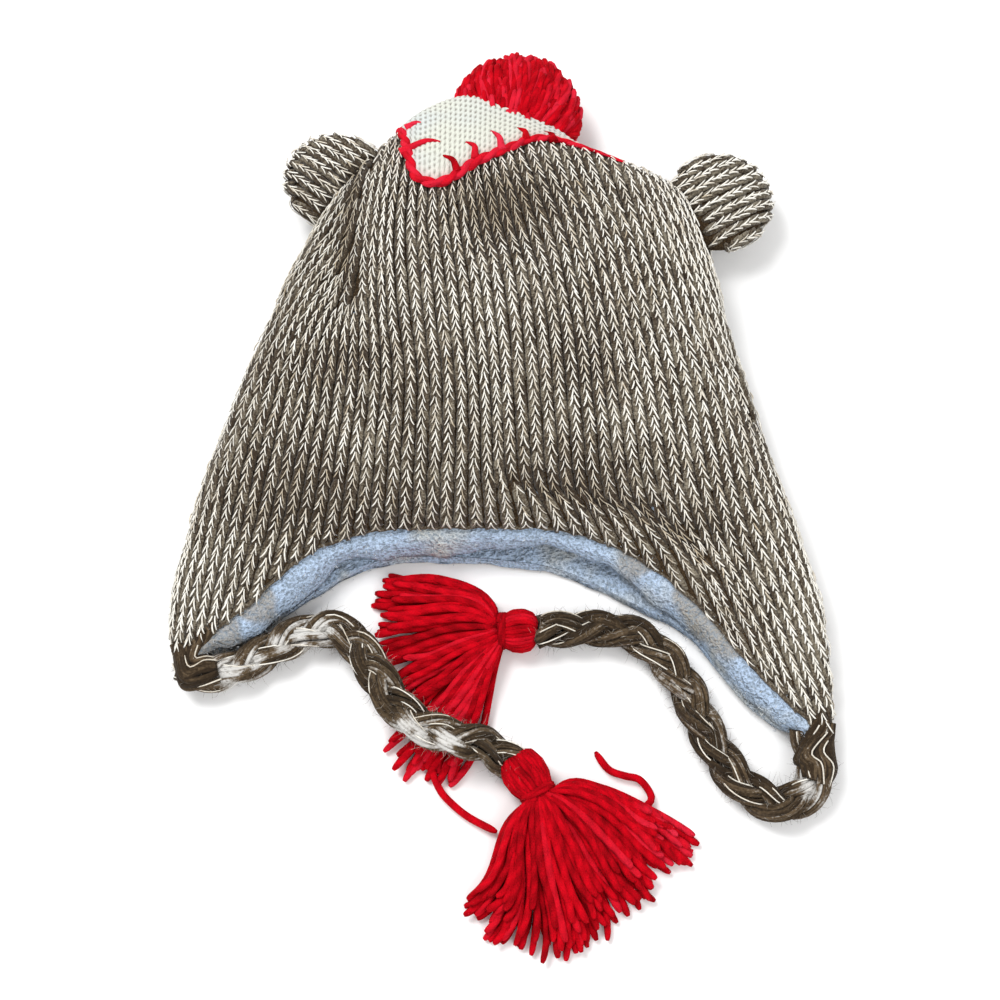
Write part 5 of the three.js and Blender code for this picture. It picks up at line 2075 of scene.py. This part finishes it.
@dataclass
class Studio:
    """The camera, the floor and the light."""

    target: tuple[float, float, float] = (0.000334, -0.051289, 0.0)
    distance: float = 1.0
    elevation: float = math.radians(70)
    lens: float = 78.26

    def camera(self) -> None:
        """A camera at the photo's angle."""
        data = bpy.data.cameras.new("camera")
        data.lens = self.lens
        data.sensor_width = 36.0
        camera = linked("camera", data)
        back = Vector((0, -math.cos(self.elevation), math.sin(self.elevation)))
        camera.location = Vector(self.target) + back * self.distance
        camera.rotation_mode = "QUATERNION"
        camera.rotation_quaternion = (-back).to_track_quat("-Z", "Y")
        data.clip_start = 0.01
        data.clip_end = 20
        bpy.context.scene.camera = camera

    def floor(self) -> None:
        """A plain pale floor."""
        mesh = bmesh.new()
        bmesh.ops.create_grid(mesh, x_segments=1, y_segments=1, size=4.0)
        finish = Finish("floor", 0.9)
        finish.shader.inputs["Base Color"].default_value = (0.93, 0.93, 0.93, 1)
        floor = mesh_object(mesh, "floor", finish.material, smooth=False)
        floor.location.z = -0.0005

    def lamp(self, name: str, place: tuple[float, float, float], size: float, power: float,
             colour: Colour = (1, 1, 1)) -> None:
        """A soft square lamp that faces the hat.

        Args:
            name: Its name.
            place: Where it stands.
            size: Length of its sides.
            power: Its power in watts.
            colour: Its colour.
        """
        data = bpy.data.lights.new(name, "AREA")
        data.shape = "SQUARE"
        data.size = size
        data.energy = power
        data.color = colour
        lamp = linked(name, data)
        lamp.location = place
        lamp.rotation_mode = "QUATERNION"
        lamp.rotation_quaternion = (Vector(self.target) - Vector(place)).to_track_quat("-Z", "Y")

    def light(self) -> None:
        """Soft light from above and the left, and a bright surround."""
        world = bpy.data.worlds.new("surround")
        world.use_nodes = True
        world.node_tree.nodes["Background"].inputs[0].default_value = (1, 1, 1, 1)
        world.node_tree.nodes["Background"].inputs[1].default_value = 0.66
        bpy.context.scene.world = world
        self.lamp("key", (-0.8, 0.6, 1.7), 0.9, 30)
        self.lamp("fill", (0.8, -1.1, 1.5), 1.2, 15)
        bpy.context.scene.view_settings.view_transform = "Standard"


def main() -> None:
    """Builds the hat and its studio."""
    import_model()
    studio = Studio()
    studio.camera()
    form = HatForm()
    body = HatBody(form)
    draw = np.random.default_rng(31)
    finishes = {
        "knit": knit_finish(),
        "plating": plating_finish(),
        "ground": under_finish(),
        "cream": cream_finish(),
        "plait": plait_finish(),
        "fibre": fibre_finish("fibre", linear(84, 72, 58), linear(200, 194, 184)),
        # Nap fibres are mixed at random between the fleece's shade colour and a pale one
        "nap": fibre_finish("nap", PALETTE.fleece_shaded, linear(226, 230, 232)),
        "red": yarn_finish("red_yarn", PALETTE.red_shaded, PALETTE.red, 0.0095, 0.0),
    }
    left = Tassel("left", TASSEL_LEFT_HEAD_MM, TASSEL_LEFT_ENDS_MM, TASSEL_LEFT_LOOSE_MM, 3,
                  math.radians(-66), (1.45, 1.80), (1.50, 0.70)).build(finishes["red"])
    right = Tassel("right", TASSEL_RIGHT_HEAD_MM, TASSEL_RIGHT_ENDS_MM, TASSEL_RIGHT_LOOSE_MM, 4,
                   math.radians(196), (2.30, 0.90), (0.60, 1.00), (46, 38, 30)).build(finishes["red"])
    Plait("left", TIE_LEFT_ROUTE_MM, TIE_LEFT_PALE_MM, 7).build(finishes, left)
    Plait("right", TIE_RIGHT_ROUTE_MM, TIE_RIGHT_PALE_MM, 8, phase=1.2, lead=4).build(finishes, right)
    body.knit_ground(finishes["ground"])
    body.knit(finishes["knit"], finishes["plating"])
    body.lining(fleece_finish(), finishes["nap"])
    for side, route, angles, seed in (("left", TIE_LEFT_ROUTE_MM, (0.02, 0.50), 51),
                                      ("right", TIE_RIGHT_ROUTE_MM, (np.pi - 0.34, np.pi - 0.02), 52)):
        Gather(form, side, route, angles, seed).build(finishes["plait"], finishes["plating"])
    Ear("left", (-0.265, 0.873, 0.34), math.radians(14), math.radians(-54), form).build(finishes, draw)
    Ear("right", (0.357, 0.838, 0.34), math.radians(-14), math.radians(42), form).build(finishes, draw)
    Patch(form).build(finishes)
    Pompom(form).build(finishes["red"])
    studio.floor()
    studio.light()
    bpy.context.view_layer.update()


if __name__ == "__main__":
    main()
